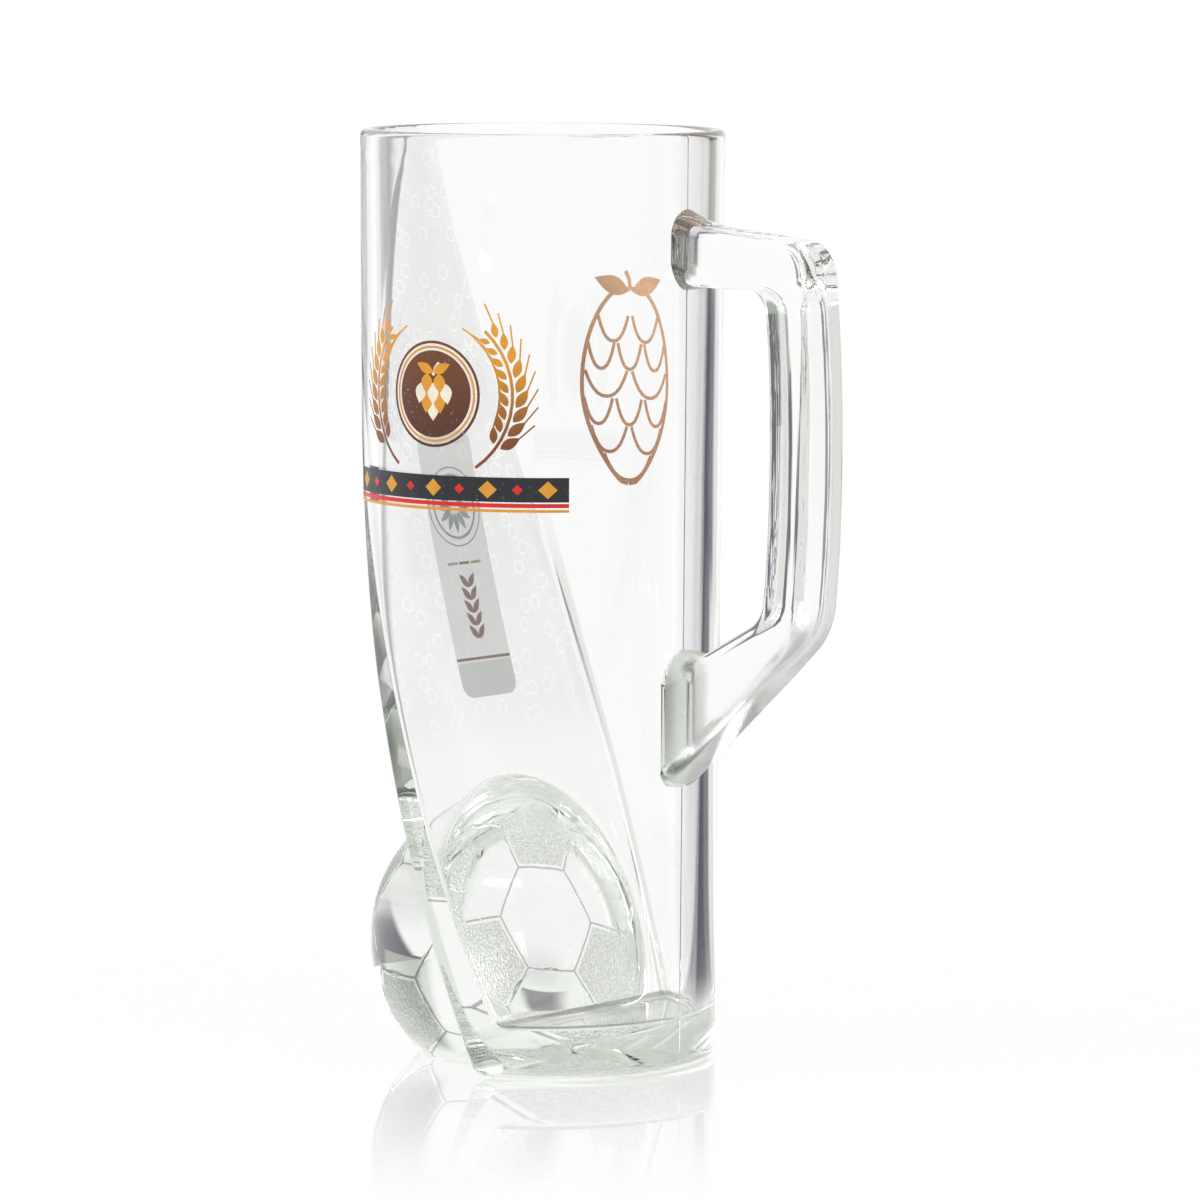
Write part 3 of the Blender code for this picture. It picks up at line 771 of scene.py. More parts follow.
def front_x(y, z):
    """The outer surface on the scooped side: flat, corner or round wall."""
    radius = wall_radius(z)
    corner = outer_corner(z)
    flat_x = max(scoop_x(z), LEAST_CUT - radius)
    corner_x = flat_x + corner
    corner_y = math.sqrt((radius - corner) ** 2 - corner_x ** 2)
    if abs(y) <= corner_y:
        return flat_x
    if abs(y) <= corner_y * radius / (radius - corner):
        return corner_x - math.sqrt(corner ** 2 - (abs(y) - corner_y) ** 2)
    return -math.sqrt(radius ** 2 - y ** 2)


def on_scoop(u, v, w):
    return Vector((front_x(u, v) - w, -u, v))


print("100 mm up, the scoop lies at", round(1000.0 * front_x(0.0, 0.1), 1), "mm")

# %% [markdown]
# A flat drawing follows a curved wall only if it has enough vertices, so it is first cut along a grid of
# narrow cells. Every vertex then moves from its flat place to its place on the glass.

# %% From a drawing to a print
def lay(form, place, name, node, materials):
    """Cuts the drawing into cells, lays it on the glass and makes it the piece that stands for a node."""
    for axis, cell in ((0, CELL_U), (1, CELL_V)):
        normal = Vector((1.0 - axis, float(axis), 0.0))
        spread = [vert.co[axis] for vert in form.verts]
        first = math.ceil(min(spread) / cell)
        for count in range(first, math.ceil(max(spread) / cell)):
            bmesh.ops.bisect_plane(form, geom=form.verts[:] + form.edges[:] + form.faces[:], dist=1e-7,
                                   plane_co=normal * (count * cell), plane_no=normal)
    bmesh.ops.triangulate(form, faces=form.faces[:])
    for vert in form.verts:
        vert.co = place(*vert.co)
    piece = finish_mesh(form, name, PRINT_SHARP)
    for material in materials:
        piece.data.materials.append(material)
    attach(piece, "root")
    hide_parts(node)
    print(f"{name}: {len(piece.data.polygons)} triangles")


# %% [markdown]
# Two small tools make the ink. A plate thickens a closed outline, and a ring is a circle whose face is inset
# and whose middle is taken out. Inks that lie over one another stand a little prouder each time.

# %% Plates and rings
def thicken(form, faces, low, high, ink):
    for face in faces:
        face.material_index = ink
    bmesh.ops.recalc_face_normals(form, faces=faces)
    if faces[0].normal.z > 0.0:
        bmesh.ops.reverse_faces(form, faces=faces)
    grown = bmesh.ops.extrude_face_region(form, geom=faces, use_keep_orig=True)
    raised = [item for item in grown["geom"] if isinstance(item, bmesh.types.BMVert)]
    bmesh.ops.translate(form, verts=raised, vec=(0.0, 0.0, high - low))


def proud(level):
    return -INK * level, INK * level


def plate(form, points, ink=0, low=-INK, high=INK):
    face = form.faces.new([form.verts.new((u, v, low)) for u, v in points])
    thicken(form, [face], low, high, ink)


def ring(form, centre, radius, width, ink=0, low=-INK, high=INK, segments=48):
    place = Matrix.Translation((centre[0], centre[1], low))
    made = bmesh.ops.create_circle(form, cap_ends=True, segments=segments, radius=radius, matrix=place)
    disc = made["verts"][0].link_faces[0]
    band = bmesh.ops.inset_individual(form, faces=[disc], thickness=width, use_even_offset=True)["faces"]
    bmesh.ops.delete(form, geom=[disc], context="FACES_ONLY")
    thicken(form, band, low, high, ink)


print("ink stands", 1e6 * proud(1.0)[1], "micrometres proud")

# %% [markdown]
# An outline is a list of points. Besides discs and boxes there are two: a leaf is a pointed oval, the shape
# of a grain or of a scale of a hop cone, and a strip follows a path at a constant width.

# %% Outlines
def disc_points(centre, radius, segments=48):
    turn = 2.0 * math.pi / segments
    return [(centre[0] + radius * math.cos(turn * step), centre[1] + radius * math.sin(turn * step))
            for step in range(segments)]


def box_points(left, low, right, high):
    return [(left, low), (right, low), (right, high), (left, high)]


def heading(angle):
    return Vector((math.cos(angle), math.sin(angle)))


def leaf_points(foot, angle, length, width, steps=8):
    """A pointed oval from its foot along an angle, as an outline."""
    along = heading(angle)
    across = Vector((-along.y, along.x))
    shares = [step / steps for step in range(1, steps)]
    sides = [(share, width / 2.0 * math.sin(math.pi * share ** 0.85)) for share in shares]
    foot = Vector(foot)
    left = [foot + along * (length * share) + across * half for share, half in sides]
    right = [foot + along * (length * share) - across * half for share, half in sides]
    return [foot, *right, foot + along * length, *left[::-1]]


def strip_points(path, width):
    """An outline that follows a path of points at a constant width."""
    left = []
    right = []
    for index, point in enumerate(path):
        ahead = Vector(path[min(index + 1, len(path) - 1)]) - Vector(path[max(index - 1, 0)])
        across = Vector((-ahead.y, ahead.x)).normalized() * (width / 2.0)
        left.append(Vector(point) + across)
        right.append(Vector(point) - across)
    return right + left[::-1]


print("a leaf has", len(leaf_points((0.0, 0.0), 0.0, 0.006, 0.0026)), "points")

# %% [markdown]
# ## Enamel
# Fired ink is glossy, slightly uneven, and its metallic pigments leave fine pale flecks. One node group
# makes the flecks and the uneven gloss for every ink. It also fades between two colours along an axis, for
# the inks that run from brown to gold. A short helper makes an empty group with its named sockets.

# %% Enamel group
DUSK = (0.03, 0.02, 0.02, 1.0)
FLECK = (0.92, 0.86, 0.72, 1.0)


def node_group(name, inputs, outputs):
    """An empty group with named sockets, its wiring and its two ends."""
    group = bpy.data.node_groups.new(name, "ShaderNodeTree")
    for way, sockets in (("INPUT", inputs), ("OUTPUT", outputs)):
        for socket, kind in sockets.items():
            group.interface.new_socket(socket, in_out=way, socket_type=f"NodeSocket{kind}")
    entry = group.nodes.new("NodeGroupInput")
    leave = group.nodes.new("NodeGroupOutput")
    return group, Wiring(group), entry.outputs, leave.inputs


enamel_group, wire, given, result = node_group(
    "fired_ink", {"First": "Color", "Second": "Color", "Fade": "Float", "Flecks": "Float", "Uneven": "Float"},
    {"Color": "Color", "Roughness": "Float"})
place = wire.add("TexCoord").outputs["Object"]
grain = wire.add("TexVoronoi", Vector=place, Scale=1300.0).outputs["Distance"]
cloud = wire.add("TexNoise", Vector=place, Scale=260.0).outputs["Fac"]
fleck = wire.times(wire.fall(grain, 0.10, 0.24), given["Flecks"], wire.step(cloud, 0.50, 0.66))
colour = wire.blend(given["Fade"], given["First"], given["Second"])
colour = wire.blend(wire.times(wire.step(cloud, 0.3, 0.7), given["Uneven"]), colour, DUSK)
wire.feed(result["Color"], wire.blend(fleck, colour, FLECK))
wire.feed(result["Roughness"], wire.step(cloud, 0.25, 0.75, 0.22, 0.42))
print("enamel group:", len(enamel_group.nodes), "nodes")

# %% [markdown]
# An ink is a plain glossy material that holds this group with its own colours and its own share of flecks.
# Brown, gold and cream come first, for the medallion.

# %% Inks
def enamel(name, first, second=None, low=0.0, high=1.0, flecks=0.3, uneven=0.12):
    """An ink of one colour, or of two that fade into one another between two heights."""
    material = bpy.data.materials.new(name)
    material.use_nodes = True
    wire = Wiring(material.node_tree)
    shader = wire.nodes["Principled BSDF"]
    skin = wire.add("Group")
    skin.node_tree = enamel_group
    settings = {"First": (*first, 1.0), "Second": (*(second or first), 1.0),
                "Flecks": flecks, "Uneven": uneven}
    for socket, value in settings.items():
        skin.inputs[socket].default_value = value
    if second is not None:
        height = wire.axes(wire.add("TexCoord").outputs["Object"])[2]
        wire.feed(skin.inputs["Fade"], wire.step(height, low, high))
    wire.feed(shader.inputs["Base Color"], skin.outputs["Color"])
    wire.feed(shader.inputs["Roughness"], skin.outputs["Roughness"])
    shader.inputs["IOR"].default_value = 1.5
    return material


brown_ink = enamel("brown_ink", (0.085, 0.022, 0.008), (0.16, 0.05, 0.012), 0.135, 0.160, 0.5)
gold_ink = enamel("gold_ink", (0.72, 0.31, 0.02), flecks=0.4)
cream_ink = enamel("cream_ink", (0.86, 0.80, 0.66), flecks=0.0)
print("inks so far:", [brown_ink.name, gold_ink.name, cream_ink.name])

# %% [markdown]
# ## The print on the near side
# A round medallion with a hop cone stands between two ears of barley, above a dark band. The cone is rows
# of leaves that lie over one another, drawn from the tip up, each row a little higher in the ink.

# %% Medallion
PRINT_AZIMUTH = math.radians(-88.0)
MEDALLION_HEIGHT = MUG_HEIGHT - 0.056
MEDALLION_RADIUS = 0.0115
CONE_ROWS = ((-0.0034, 1, 0.0044), (-0.0016, 2, 0.0046), (0.0004, 3, 0.0046), (0.0024, 2, 0.0042))
CONE_STEM = [(0.0, 0.0040), (0.0006, 0.0056), (0.0016, 0.0068)]
SCALE_WIDTH = 0.0030
BASE = INK * 0.5

on_front = on_wall(PRINT_AZIMUTH, MEDALLION_HEIGHT)
medallion = bmesh.new()
ring(medallion, (0.0, 0.0), MEDALLION_RADIUS, 0.0006, 0)
ring(medallion, (0.0, 0.0), MEDALLION_RADIUS - 0.0011, 0.0005, 1)
plate(medallion, disc_points((0.0, 0.0), MEDALLION_RADIUS - 0.0021), 0)
for level, (v, count, length) in enumerate(CONE_ROWS):
    for index in range(count):
        u = (index - (count - 1) / 2.0) * SCALE_WIDTH
        scale = leaf_points((u, v + 0.0020), -math.pi / 2.0 + u * 60.0, length, SCALE_WIDTH)
        plate(medallion, scale, 1 if level % 2 else 2, BASE, INK * (1.2 + 0.6 * level + 0.2 * index))
plate(medallion, strip_points(CONE_STEM, 0.0007), 2, BASE, INK * 1.5)
for side in (-1.0, 1.0):
    leaf = leaf_points((0.0, 0.0046), math.pi / 2.0 - side * 1.15, 0.0048, 0.0022)
    plate(medallion, leaf, 1, BASE, INK * 2.0)
lay(medallion, on_front, "medallion_print", "front_medallion",
    [brown_ink, gold_ink, cream_ink])

# %% [markdown]
# Each ear of barley follows an arc round the medallion: two rows of grains that lean outwards, thin awns
# beyond them and a stalk. The ink fades with height from brown at the foot to gold at the tip.

# %% Barley ears
EAR_ORBIT = 0.01875
EAR_SWEEP = 0.034 / EAR_ORBIT
STALK_STEPS = 12
STALK_WIDTH = 0.0007
GRAINS = 9
GRAIN_ROWS = ((-0.46, 0.0009, 1.0), (0.62, -0.0009, 0.78))
GRAIN_LENGTH = 0.0050
GRAIN_WIDTH = 0.0023
AWN_START = 0.0047
AWN_LENGTH = 0.0045
AWN_WIDTH = 0.00035


def barley_ear(side):
    ear = bmesh.new()
    stalk = []
    for step in range(STALK_STEPS + 1):
        turn = EAR_SWEEP * (-0.54 + 1.0 * step / STALK_STEPS)
        stalk.append((side * EAR_ORBIT * math.cos(turn), EAR_ORBIT * math.sin(turn)))
    plate(ear, strip_points(stalk, STALK_WIDTH), 0)
    for index in range(GRAINS):
        turn = EAR_SWEEP * (-0.34 + 0.72 * index / (GRAINS - 1))
        along = turn + math.pi / 2.0
        for lean, row, scale in GRAIN_ROWS:
            foot = heading(turn) * (EAR_ORBIT + row)
            size = scale * (1.0 - 0.30 * (index / (GRAINS - 1)) ** 2)
            grain = leaf_points(foot, along + lean, GRAIN_LENGTH * size, GRAIN_WIDTH * size)
            awn_foot = foot + heading(along + lean) * AWN_START * size
            tip = awn_foot + heading(along + lean * 0.55) * AWN_LENGTH
            awn = strip_points([awn_foot, (awn_foot + tip) / 2.0, tip], AWN_WIDTH)
            for points in (grain, awn):
                plate(ear, [(side * u, v) for u, v in points], 0, -INK, INK * (1.0 + 0.15 * index))
    return ear


amber_ink = enamel("amber_ink", (0.20, 0.055, 0.010), (0.75, 0.33, 0.02), 0.136, 0.160, 0.4)
for side, name in ((-1.0, "left"), (1.0, "right")):
    lay(barley_ear(side), on_front, f"barley_{name}", f"front_ear_{name}", [amber_ink])

# %% [markdown]
# The band is a long dark strip with a red stripe, a gold stripe and a row of lozenges, large gold ones and
# small red ones by turns. Every colour is its own closed island of ink, so the edges stay crisp at any size.

# %% Band
BAND_LENGTH = 0.062
BAND_TOP = -MEDALLION_RADIUS - 0.006
BAND_FOOT = BAND_TOP - 0.0075
BAND_STRIPES = ((0.0022, BAND_TOP - BAND_FOOT, 0), (0.0010, 0.0019, 1), (0.0, 0.0006, 2))
LOZENGES = 9
LOZENGE_SPACE = 0.0066
LOZENGE_KINDS = ((0.0021, 0.0019, 2), (0.0012, 0.0011, 1))

band = bmesh.new()
for low, high, ink in BAND_STRIPES:
    plate(band, box_points(-BAND_LENGTH / 2.0, BAND_FOOT + low, BAND_LENGTH / 2.0, BAND_FOOT + high), ink)
v = (BAND_TOP + BAND_FOOT + BAND_STRIPES[0][0]) / 2.0
for index in range(LOZENGES):
    u = (index - LOZENGES // 2) * LOZENGE_SPACE
    wide, tall, ink = LOZENGE_KINDS[index % 2]
    plate(band, [(u - wide, v), (u, v - tall), (u + wide, v), (u, v + tall)], ink, BASE, INK * 1.8)
night_ink = enamel("night_ink", (0.012, 0.014, 0.022), flecks=0.25)
red_ink = enamel("red_ink", (0.70, 0.012, 0.010), flecks=0.1)
lay(band, on_front, "band_print", "front_band", [night_ink, red_ink, gold_ink])

# %% [markdown]
# ## The copper hop on the far side
# The far side carries a large hop cone in copper, drawn only as lines of about a millimetre, and seen
# through the whole mug. Its outline and the edges of its scales are strips along arcs. Copper lustre is a
# thin metal film, so this ink is mostly metallic.

# %% Hop in line
HOP_AZIMUTH = math.radians(96.0)
HOP_MIDDLE = MUG_HEIGHT - 0.0585
HOP_WIDTH = 0.026
HOP_TIP = 0.045 / 2.0
LINE = 0.0010
SCALE_ROWS = (2, 3, 2, 3, 2, 1)
FIRST_ROW = 0.0155
ROW_STEP = 0.0062
ARCH_DROP = 0.0058
ARCH_STEPS = 10
LUSTRE = 0.85


def hop_half_width(v):
    up = v / HOP_TIP
    round_half = HOP_WIDTH / 2.0 * math.sqrt(max(0.0, 1.0 - up * up))
    return round_half * (1.0 - 0.35 * max(0.0, -up) ** 2)


hop = bmesh.new()
rim_path = [(LINE * 0.1, HOP_TIP - LINE)]
for step in range(2, 31):
    v = (HOP_TIP - LINE / 2.0) * math.sin(math.pi / 2.0 - 2.0 * math.pi * step / 64.0)
    rim_path.append((hop_half_width(v) - LINE * 0.4, v))
rim_path.append((LINE * 0.1, -HOP_TIP + LINE * 0.5))
for side in (-1.0, 1.0):
    plate(hop, strip_points([(side * u, v) for u, v in rim_path], LINE), 0)
    leaf = leaf_points((side * 0.0006, HOP_TIP - 0.0016), math.pi / 2.0 - side * 1.25, 0.0095, 0.0042)
    plate(hop, leaf, 0, *proud(1.1))
stem = [(0.0, HOP_TIP - LINE), (0.0004, HOP_TIP + 0.0012), (0.0014, HOP_TIP + 0.0030)]
plate(hop, strip_points(stem, LINE), 0)
level = 1.0
for row, count in enumerate(SCALE_ROWS):
    v = FIRST_ROW - row * ROW_STEP
    reach = hop_half_width(v) * 0.98
    wide = 2.0 * reach / count
    for index in range(count):
        u = -reach + wide * (index + 0.5)
        arch = []
        for step in range(ARCH_STEPS + 1):
            share = -1.0 + 2.0 * step / ARCH_STEPS
            along = wide / 2.0 * share * (1.0 - 0.12 * abs(share))
            arch.append((u + along, v - ARCH_DROP * (1.0 - abs(share) ** 2.2)))
        level += 0.05
        plate(hop, strip_points(arch, LINE * 0.8), 0, *proud(level))
copper_ink = enamel("copper_ink", (0.72, 0.29, 0.12), (0.90, 0.50, 0.27), 0.125, 0.170, 0.5, 0.04)
copper_ink.node_tree.nodes["Principled BSDF"].inputs["Metallic"].default_value = LUSTRE
lay(hop, on_wall(HOP_AZIMUTH, HOP_MIDDLE), "hop_print", "rear_hop", [copper_ink])

# %% [markdown]
# ## The panel and the label on the scoop
# The scoop carries a pale film over its whole flat, with fine marks, and a label on top. The film is one
# plate whose sides follow the width of the flat, and a low Alpha keeps it see-through. The marks are rising
# bubbles: rings round the points of a Voronoi pattern, where the film is left bare. The film grows fainter
# towards the ball.

# %% Panel
PANEL_FOOT = BALL_CENTRE.z + BALL_RADIUS + 0.004
PANEL_TOP_HALF = 0.008
PANEL_ROUND = 0.0022
PANEL_ROWS = 40
FILM_AT_FOOT = 0.042
FILM_AT_TOP = 0.075
FILM_FULL_HEIGHT = 0.150
BUBBLE_RADIUS = 0.22


def panel_half(z):
    inside = bore_radius(z) ** 2 - (scoop_x(z) + SCOOP_WALL) ** 2
    return max(PANEL_TOP_HALF, math.sqrt(max(0.0, inside)))


panel = bmesh.new()
heights = [PANEL_FOOT + (FLAT_TOP - PANEL_FOOT) * step / PANEL_ROWS for step in range(PANEL_ROWS + 1)]
right_side = [(panel_half(z), z) for z in heights if z < FLAT_TOP - PANEL_ROUND]
for turn in (0.0, 0.4, 0.8, 1.2, math.pi / 2.0):
    right_side.append((PANEL_TOP_HALF - PANEL_ROUND * (1.0 - math.cos(turn)),
                       FLAT_TOP - PANEL_ROUND * (1.0 - math.sin(turn))))
plate(panel, right_side + [(-u, v) for u, v in reversed(right_side)], 0, *proud(0.6))
pale_ink = enamel("pale_film", (0.80, 0.80, 0.82), flecks=0.0)
wire = Wiring(pale_ink.node_tree)
at_x, at_y, at_z = wire.axes(wire.add("TexCoord").outputs["Object"])
bubbles = wire.add("TexVoronoi", Vector=wire.add("CombineXYZ", X=at_y, Y=at_z).outputs[0], Scale=150.0)
bubbles.voronoi_dimensions = "2D"
ring_line = wire.calc("ABSOLUTE", wire.calc("SUBTRACT", bubbles.outputs["Distance"], BUBBLE_RADIUS))
strength = wire.times(wire.step(at_z, PANEL_FOOT, FILM_FULL_HEIGHT, FILM_AT_FOOT, FILM_AT_TOP),
                      wire.step(at_z, PANEL_FOOT, PANEL_FOOT + 0.014), wire.step(ring_line, 0.012, 0.040))
wire.feed(wire.nodes["Principled BSDF"].inputs["Alpha"], strength)
lay(panel, on_scoop, "scoop_film", "scoop_panel", [pale_ink])

# %% [markdown]
# The label is a long grey field with rounded corners. It has a band and a thin line at its foot, a rosette in
# two rings, three short dashes and a sprig.

# %% Label drawing
LABEL_LOW = PANEL_FOOT + 0.015
LABEL_HIGH = LABEL_LOW + 0.058
LABEL_HALF = 0.0093
LABEL_CORNER = 0.003
FOOT_BAND = 0.0075
BADGE = (0.0, LABEL_HIGH - 0.0165)
PETALS = 12
DASH_SPACE = 0.0040
DASH_HALF = 0.0017
SPRIG_PAIRS = 5
SPRIG_STEP = 0.0028
GREY, FOOT, RED, SLATE, OCHRE = range(5)


def round_box_points(half, low, high, corner, steps=6):
    points = []
    for u, v, start in ((half, low, -90.0), (half, high, 0.0), (-half, high, 90.0), (-half, low, 180.0)):
        centre = (u - math.copysign(corner, u), v + corner if v == low else v - corner)
        for step in range(steps + 1):
            turn = math.radians(start + 90.0 * step / steps)
            points.append((centre[0] + corner * math.cos(turn), centre[1] + corner * math.sin(turn)))
    return points


label = bmesh.new()
field = round_box_points(LABEL_HALF, LABEL_LOW, LABEL_HIGH, LABEL_CORNER)
plate(label, field, GREY)
foot_side = [(u, v) for u, v in field if u < 0.0 and v < LABEL_LOW + LABEL_CORNER + 1e-6]
foot_side = [(-LABEL_HALF, LABEL_LOW + FOOT_BAND), *sorted(foot_side, key=lambda point: -point[1])]
plate(label, foot_side + [(-u, v) for u, v in reversed(foot_side)], FOOT, *proud(1.6))
thin_line = box_points(-LABEL_HALF, LABEL_LOW + 0.0080, LABEL_HALF, LABEL_LOW + 0.0086)
plate(label, thin_line, RED, *proud(1.6))
for radius, width in ((0.0088, 0.0003), (0.0072, 0.0006)):
    ring(label, BADGE, radius, width, SLATE, *proud(1.5))
for index in range(PETALS):
    turn = 2.0 * math.pi * index / PETALS
    petal = leaf_points(Vector(BADGE) + heading(turn) * 0.0014, turn, 0.0045, 0.0016)
    plate(label, petal, SLATE, *proud(1.5))
for index, ink in enumerate((OCHRE, RED, SLATE)):
    u = (index - 1) * DASH_SPACE
    dash = box_points(u - DASH_HALF, LABEL_HIGH - 0.0292, u + DASH_HALF, LABEL_HIGH - 0.0286)
    plate(label, dash, ink, *proud(1.5))
for index in range(SPRIG_PAIRS):
    foot = (0.0, LABEL_LOW + 0.0125 + index * SPRIG_STEP)
    for lean in (-0.7, 0.7):
        plate(label, leaf_points(foot, math.pi / 2.0 + lean, 0.0040, 0.0016), RED, *proud(1.5))
print("label drawing:", len(label.faces), "faces")

# %% [markdown]
# From behind, the label is seen against the light, so its inks are translucent: a low Alpha for the field
# and for the foot, a higher one for the drawing. They shine less than the other inks. Their order is the one
# that the drawing counts them in.

# %% Label inks
LABEL_INKS = {"grey": ((0.97, 0.965, 0.95), 0.24), "foot": ((0.74, 0.88, 0.78), 0.16),
              "red": ((0.45, 0.10, 0.09), 0.6), "slate": ((0.70, 0.75, 0.82), 0.6),
              "ochre": ((0.88, 0.70, 0.35), 0.6)}
LABEL_SHINE = 0.15

label_inks = []
for name, (colour, alpha) in LABEL_INKS.items():
    ink = enamel(f"label_{name}", colour, flecks=0.0, uneven=0.02)
    shader = ink.node_tree.nodes["Principled BSDF"]
    shader.inputs["Specular IOR Level"].default_value = LABEL_SHINE
    shader.inputs["Alpha"].default_value = alpha
    label_inks.append(ink)
lay(label, on_scoop, "scoop_label_print", "scoop_label", label_inks)

# %% [markdown]
# ## Floor, light and camera
# The mug stands on a white, softly mirroring table in a white studio. Glass shows what stands round it, so
# the studio has darker parts: dark screens behind the mug at the left and the right, a grey edge beyond
# them, and a dim side where the camera stands. One node group turns a direction into a mask for each of
# them, by the angle about Z from straight behind the mug. The table and the world share it.

# %% Studio group
CAMERA_AZIMUTH = math.radians(37.77)
SCREENS = {"Left": (-27.0, -20.0, -14.0, -10.0), "Right": (30.0, 35.0, 74.0, 82.0),
           "Wide Right": (24.0, 31.0, 74.0, 82.0), "Far Right": (53.0, 58.0, 74.0, 82.0),
           "Edge": (25.0, 33.0, 82.0, 92.0)}
NEAR_SIDE = (78.0, 92.0)
DARK = (0.11, 0.105, 0.13, 1.0)
SIDE = (0.77, 0.79, 0.75, 1.0)
EDGE = (0.38, 0.41, 0.36, 1.0)
LEFT_SHARE = 0.8

masks = dict.fromkeys((*SCREENS, "Surround"), "Float")
studio_group, wire, given, result = node_group("studio_walls", {"Direction": "Vector"}, masks)
turned = wire.add("VectorRotate", Vector=given["Direction"], Angle=-CAMERA_AZIMUTH)
turned.rotation_type = "Z_AXIS"
rightward, away = wire.axes(turned.outputs["Vector"])[:2]
swing = wire.calc("ARCTAN2", rightward, away)
for name, angles in SCREENS.items():
    wire.feed(result[name], wire.between(swing, *map(math.radians, angles)))
wire.feed(result["Surround"], wire.step(wire.calc("ABSOLUTE", swing), *map(math.radians, NEAR_SIDE)))
print("studio group:", len(studio_group.nodes), "nodes")


def studio_walls(wire, direction):
    walls = wire.add("Group")
    walls.node_tree = studio_group
    wire.feed(walls.inputs["Direction"], direction)
    return walls.outputs


def studio_tone(wire, dim, edge, dark):
    """White, with the dim side, the grey edge and the dark screens laid over it."""
    return wire.blend(dark, wire.blend(edge, wire.blend(dim, WHITE, SIDE), EDGE), DARK)


def studio_rays(wire):
    """The kinds of ray, and a mask of those that a mirror or the glass has bent."""
    path = wire.add("LightPath").outputs
    return path, wire.most(path["Is Glossy Ray"], path["Is Transmission Ray"])


# %% [markdown]
# The table is a flat sheet, a hair below the foot so that the two never share a face.

# %% Floor
FLOOR_SIZE = 4.0
FLOOR_DROP = 0.0002

floor_form = bmesh.new()
bmesh.ops.create_grid(floor_form, x_segments=8, y_segments=8, size=FLOOR_SIZE)
bmesh.ops.translate(floor_form, verts=floor_form.verts[:], vec=(0.0, 0.0, -FLOOR_DROP))
floor = finish_mesh(floor_form, "floor")
print("floor at", round(floor.data.vertices[0].co.z, 5))

# %% [markdown]
# The table is white where it is seen directly, matte for the light that it passes on, and a faint mirror
# round the mug that dies away with the distance. Only rays that the glass or a mirror has bent see the dark
# screens on it, each within its own reach from the mug. So they show in the glass and not on the table.

# %% Paint of the table
TABLE_GREY = (0.9, 0.9, 0.9, 1.0)
MIRROR_ROUGHNESS = 0.02
MIRROR_SHARE = (0.03, 0.20, 0.45, 0.0)
GLOW_SHARE = (0.05, 0.30, 0.95, 1.0)
RIGHT_REACH = (0.06, 0.14, 2.3, 3.2)
WIDE_RIGHT_FROM = (0.8, 1.1)
FAR_RIGHT_FROM = (0.3, 0.5)
LEFT_FROM = (0.25, 0.50)
SIDE_FROM = (0.05, 0.12)
EDGE_FROM = (2.0, 2.8)

floor_paint = bpy.data.materials.new("white_table")
floor_paint.use_nodes = True
wire = Wiring(floor_paint.node_tree)
wire.nodes.remove(wire.nodes["Principled BSDF"])
place = wire.add("TexCoord").outputs["Object"]
walls = studio_walls(wire, place)
path, bent = studio_rays(wire)
distance = wire.add("VectorMath", Vector=place)
distance.operation = "LENGTH"
reach = distance.outputs["Value"]
wide_right = wire.times(walls["Wide Right"], wire.step(reach, *WIDE_RIGHT_FROM))
near_right = wire.times(wire.most(walls["Right"], wide_right), wire.between(reach, *RIGHT_REACH))
far_right = wire.times(walls["Far Right"], wire.step(reach, *FAR_RIGHT_FROM))
dark_left = wire.times(walls["Left"], wire.step(reach, *LEFT_FROM, 0.0, LEFT_SHARE))
dark = wire.times(wire.most(dark_left, wire.most(near_right, far_right)), bent)
dim = wire.times(walls["Surround"], wire.step(reach, *SIDE_FROM), bent)
edge = wire.times(walls["Edge"], wire.step(reach, *EDGE_FROM), bent)
white = wire.add("Emission", Color=studio_tone(wire, dim, edge, dark))
matte = wire.add("BsdfDiffuse", Color=TABLE_GREY)
mirror = wire.add("BsdfGlossy", Color=WHITE, Roughness=MIRROR_ROUGHNESS)
seen = wire.most(bent, path["Is Camera Ray"])
paint = wire.mix_shader(wire.times(seen, wire.step(reach, *GLOW_SHARE)), matte, white)
gloss = wire.mix_shader(wire.step(reach, *MIRROR_SHARE), paint, mirror)
wire.feed(wire.nodes["Material Output"].inputs["Surface"], gloss.outputs[0])
floor.data.materials.append(floor_paint)
print("table:", len(wire.nodes), "nodes")

# %% [markdown]
# The world is white to the camera and a little less bright as a light. Bent rays see the screens on it too,
# up to a height of their own, so that the dark lines in the glass run on from the table.

# %% World
WORLD_LIGHT = (0.8, 0.8, 0.8, 1.0)
LEFT_TOP = (0.10, 0.24)
FAR_RIGHT_TOP = (0.10, 0.18)
SIDE_TOP = (0.25, 0.55)
EDGE_TOP = (0.50, 0.62)

world = bpy.data.worlds.new("white_studio")
bpy.context.scene.world = world
world.use_nodes = True
wire = Wiring(world.node_tree)
direction = wire.add("TexCoord").outputs["Generated"]
walls = studio_walls(wire, direction)
path, bent = studio_rays(wire)
up = wire.axes(direction)[2]
dark_left = wire.times(walls["Left"], wire.step(up, *LEFT_TOP, LEFT_SHARE, 0.0))
dark_right = wire.times(walls["Far Right"], wire.fall(up, *FAR_RIGHT_TOP))
dim = wire.times(walls["Surround"], wire.fall(up, *SIDE_TOP))
edge = wire.times(walls["Edge"], wire.fall(up, *EDGE_TOP))
room = studio_tone(wire, dim, edge, wire.most(dark_left, dark_right))
lit = wire.blend(bent, WORLD_LIGHT, room)
wire.feed(wire.nodes["Background"].inputs["Color"], wire.blend(path["Is Camera Ray"], lit, WHITE))
print("world:", len(wire.nodes), "nodes")

# %% [markdown]
# Two soft lamps at the sides light the prints. They are hidden from glossy rays, because their rectangles
# would show as hard white patches in the glass.

# %% Lamps
LAMP_AIM = Vector((0.0, 0.0, 0.1))


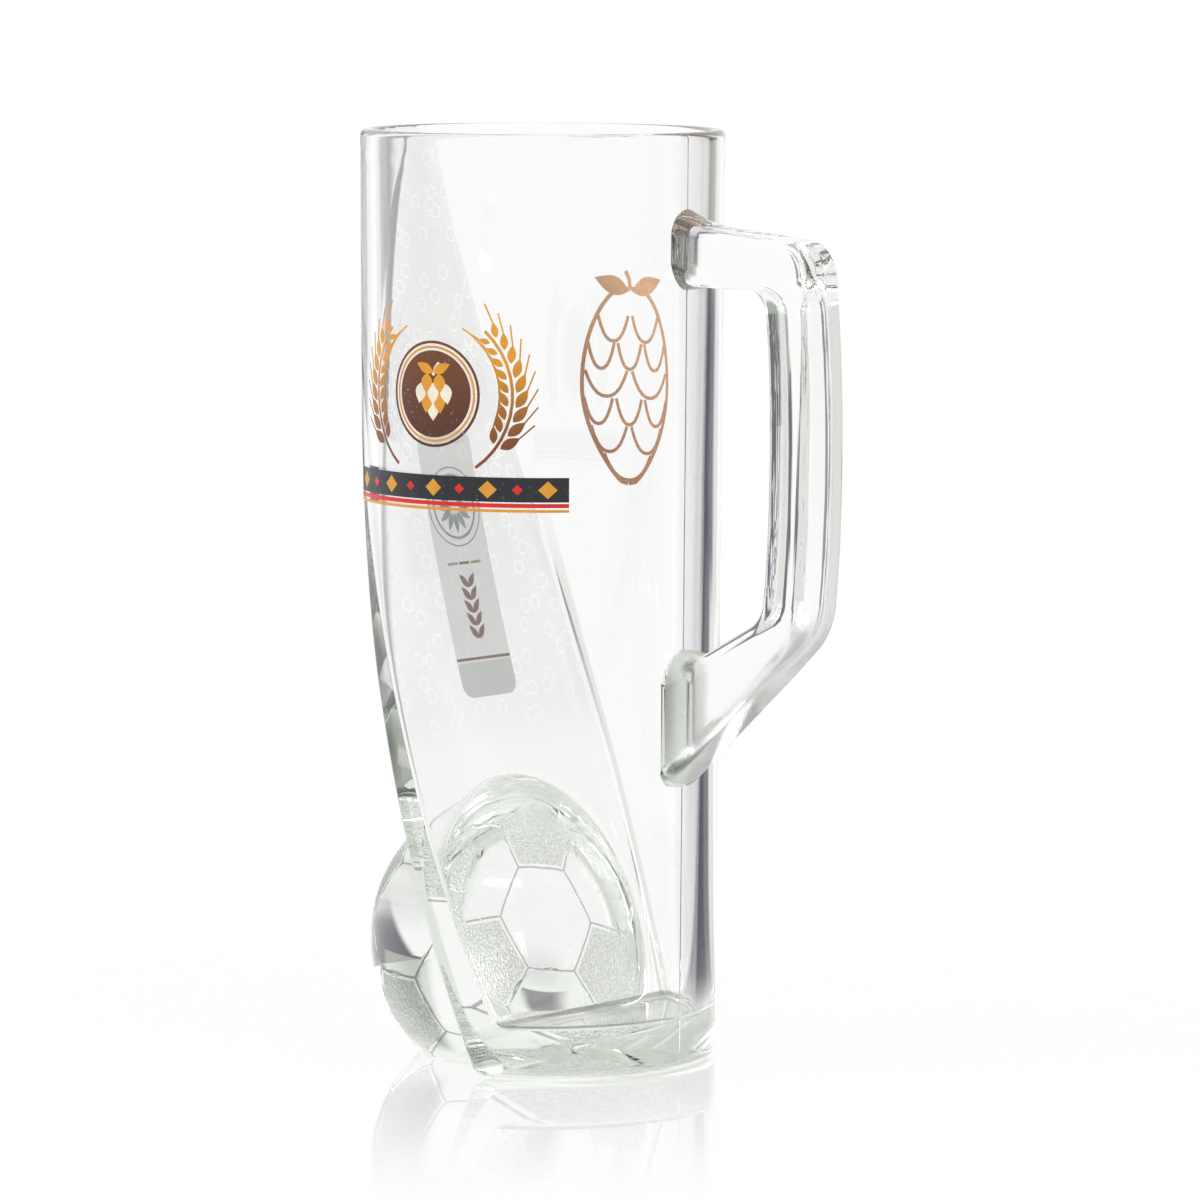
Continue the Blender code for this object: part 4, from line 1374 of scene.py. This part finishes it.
def soft_lamp(name, place, size, watts):
    data = bpy.data.lights.new(name, "AREA")
    data.shape = "RECTANGLE"
    data.size, data.size_y = size
    data.energy = watts
    lamp = bpy.data.objects.new(name, data)
    bpy.context.scene.collection.objects.link(lamp)
    lamp.location = place
    lamp.visible_glossy = False
    lamp.rotation_mode = "QUATERNION"
    lamp.rotation_quaternion = (Vector(place) - LAMP_AIM).to_track_quat("Z", "Y")


soft_lamp("left_softbox", (-0.75, -1.0, 0.75), (0.5, 0.9), 6.0)
soft_lamp("right_softbox", (1.25, -0.25, 0.7), (0.4, 0.9), 4.0)

# %% [markdown]
# The camera stands where the photograph was taken from, a little above the mug's middle and far away, with a
# long lens. Light crosses many surfaces on its way through the mug, the handle and the ball, so the number of
# bounces is set high.

# %% Camera
CAMERA_ELEVATION = math.radians(5.56)
CAMERA_DISTANCE = 1.642
CAMERA_ROLL = math.radians(0.198)
LENS_PIXELS = 7461.0
PHOTO_PIXELS = 1200.0
AIM_RIGHT = 0.0129
AIM_HEIGHT = 0.10042
BOUNCES = 40

towards = Vector((math.sin(CAMERA_AZIMUTH) * math.cos(CAMERA_ELEVATION),
                  -math.cos(CAMERA_AZIMUTH) * math.cos(CAMERA_ELEVATION), math.sin(CAMERA_ELEVATION)))
right = Vector((math.cos(CAMERA_AZIMUTH), math.sin(CAMERA_AZIMUTH), 0.0))
aim = right * AIM_RIGHT + Vector((0.0, 0.0, AIM_HEIGHT))
lens = bpy.data.cameras.new("photo_camera")
lens.sensor_width = 36.0
lens.lens = LENS_PIXELS / PHOTO_PIXELS * lens.sensor_width
camera = bpy.data.objects.new("photo_camera", lens)
bpy.context.scene.collection.objects.link(camera)
camera.location = aim + towards * CAMERA_DISTANCE
camera.rotation_mode = "QUATERNION"
level = (-towards).to_track_quat("-Z", "Y")
camera.rotation_quaternion = level @ Matrix.Rotation(CAMERA_ROLL, 3, "Z").to_quaternion()
bpy.context.scene.camera = camera
bpy.context.scene.view_settings.view_transform = "Standard"
for limit in ("max_bounces", "transmission_bounces", "glossy_bounces"):
    setattr(bpy.context.scene.cycles, limit, BOUNCES)
print("camera lens", round(lens.lens, 1), "mm")

bpy.context.view_layer.update()
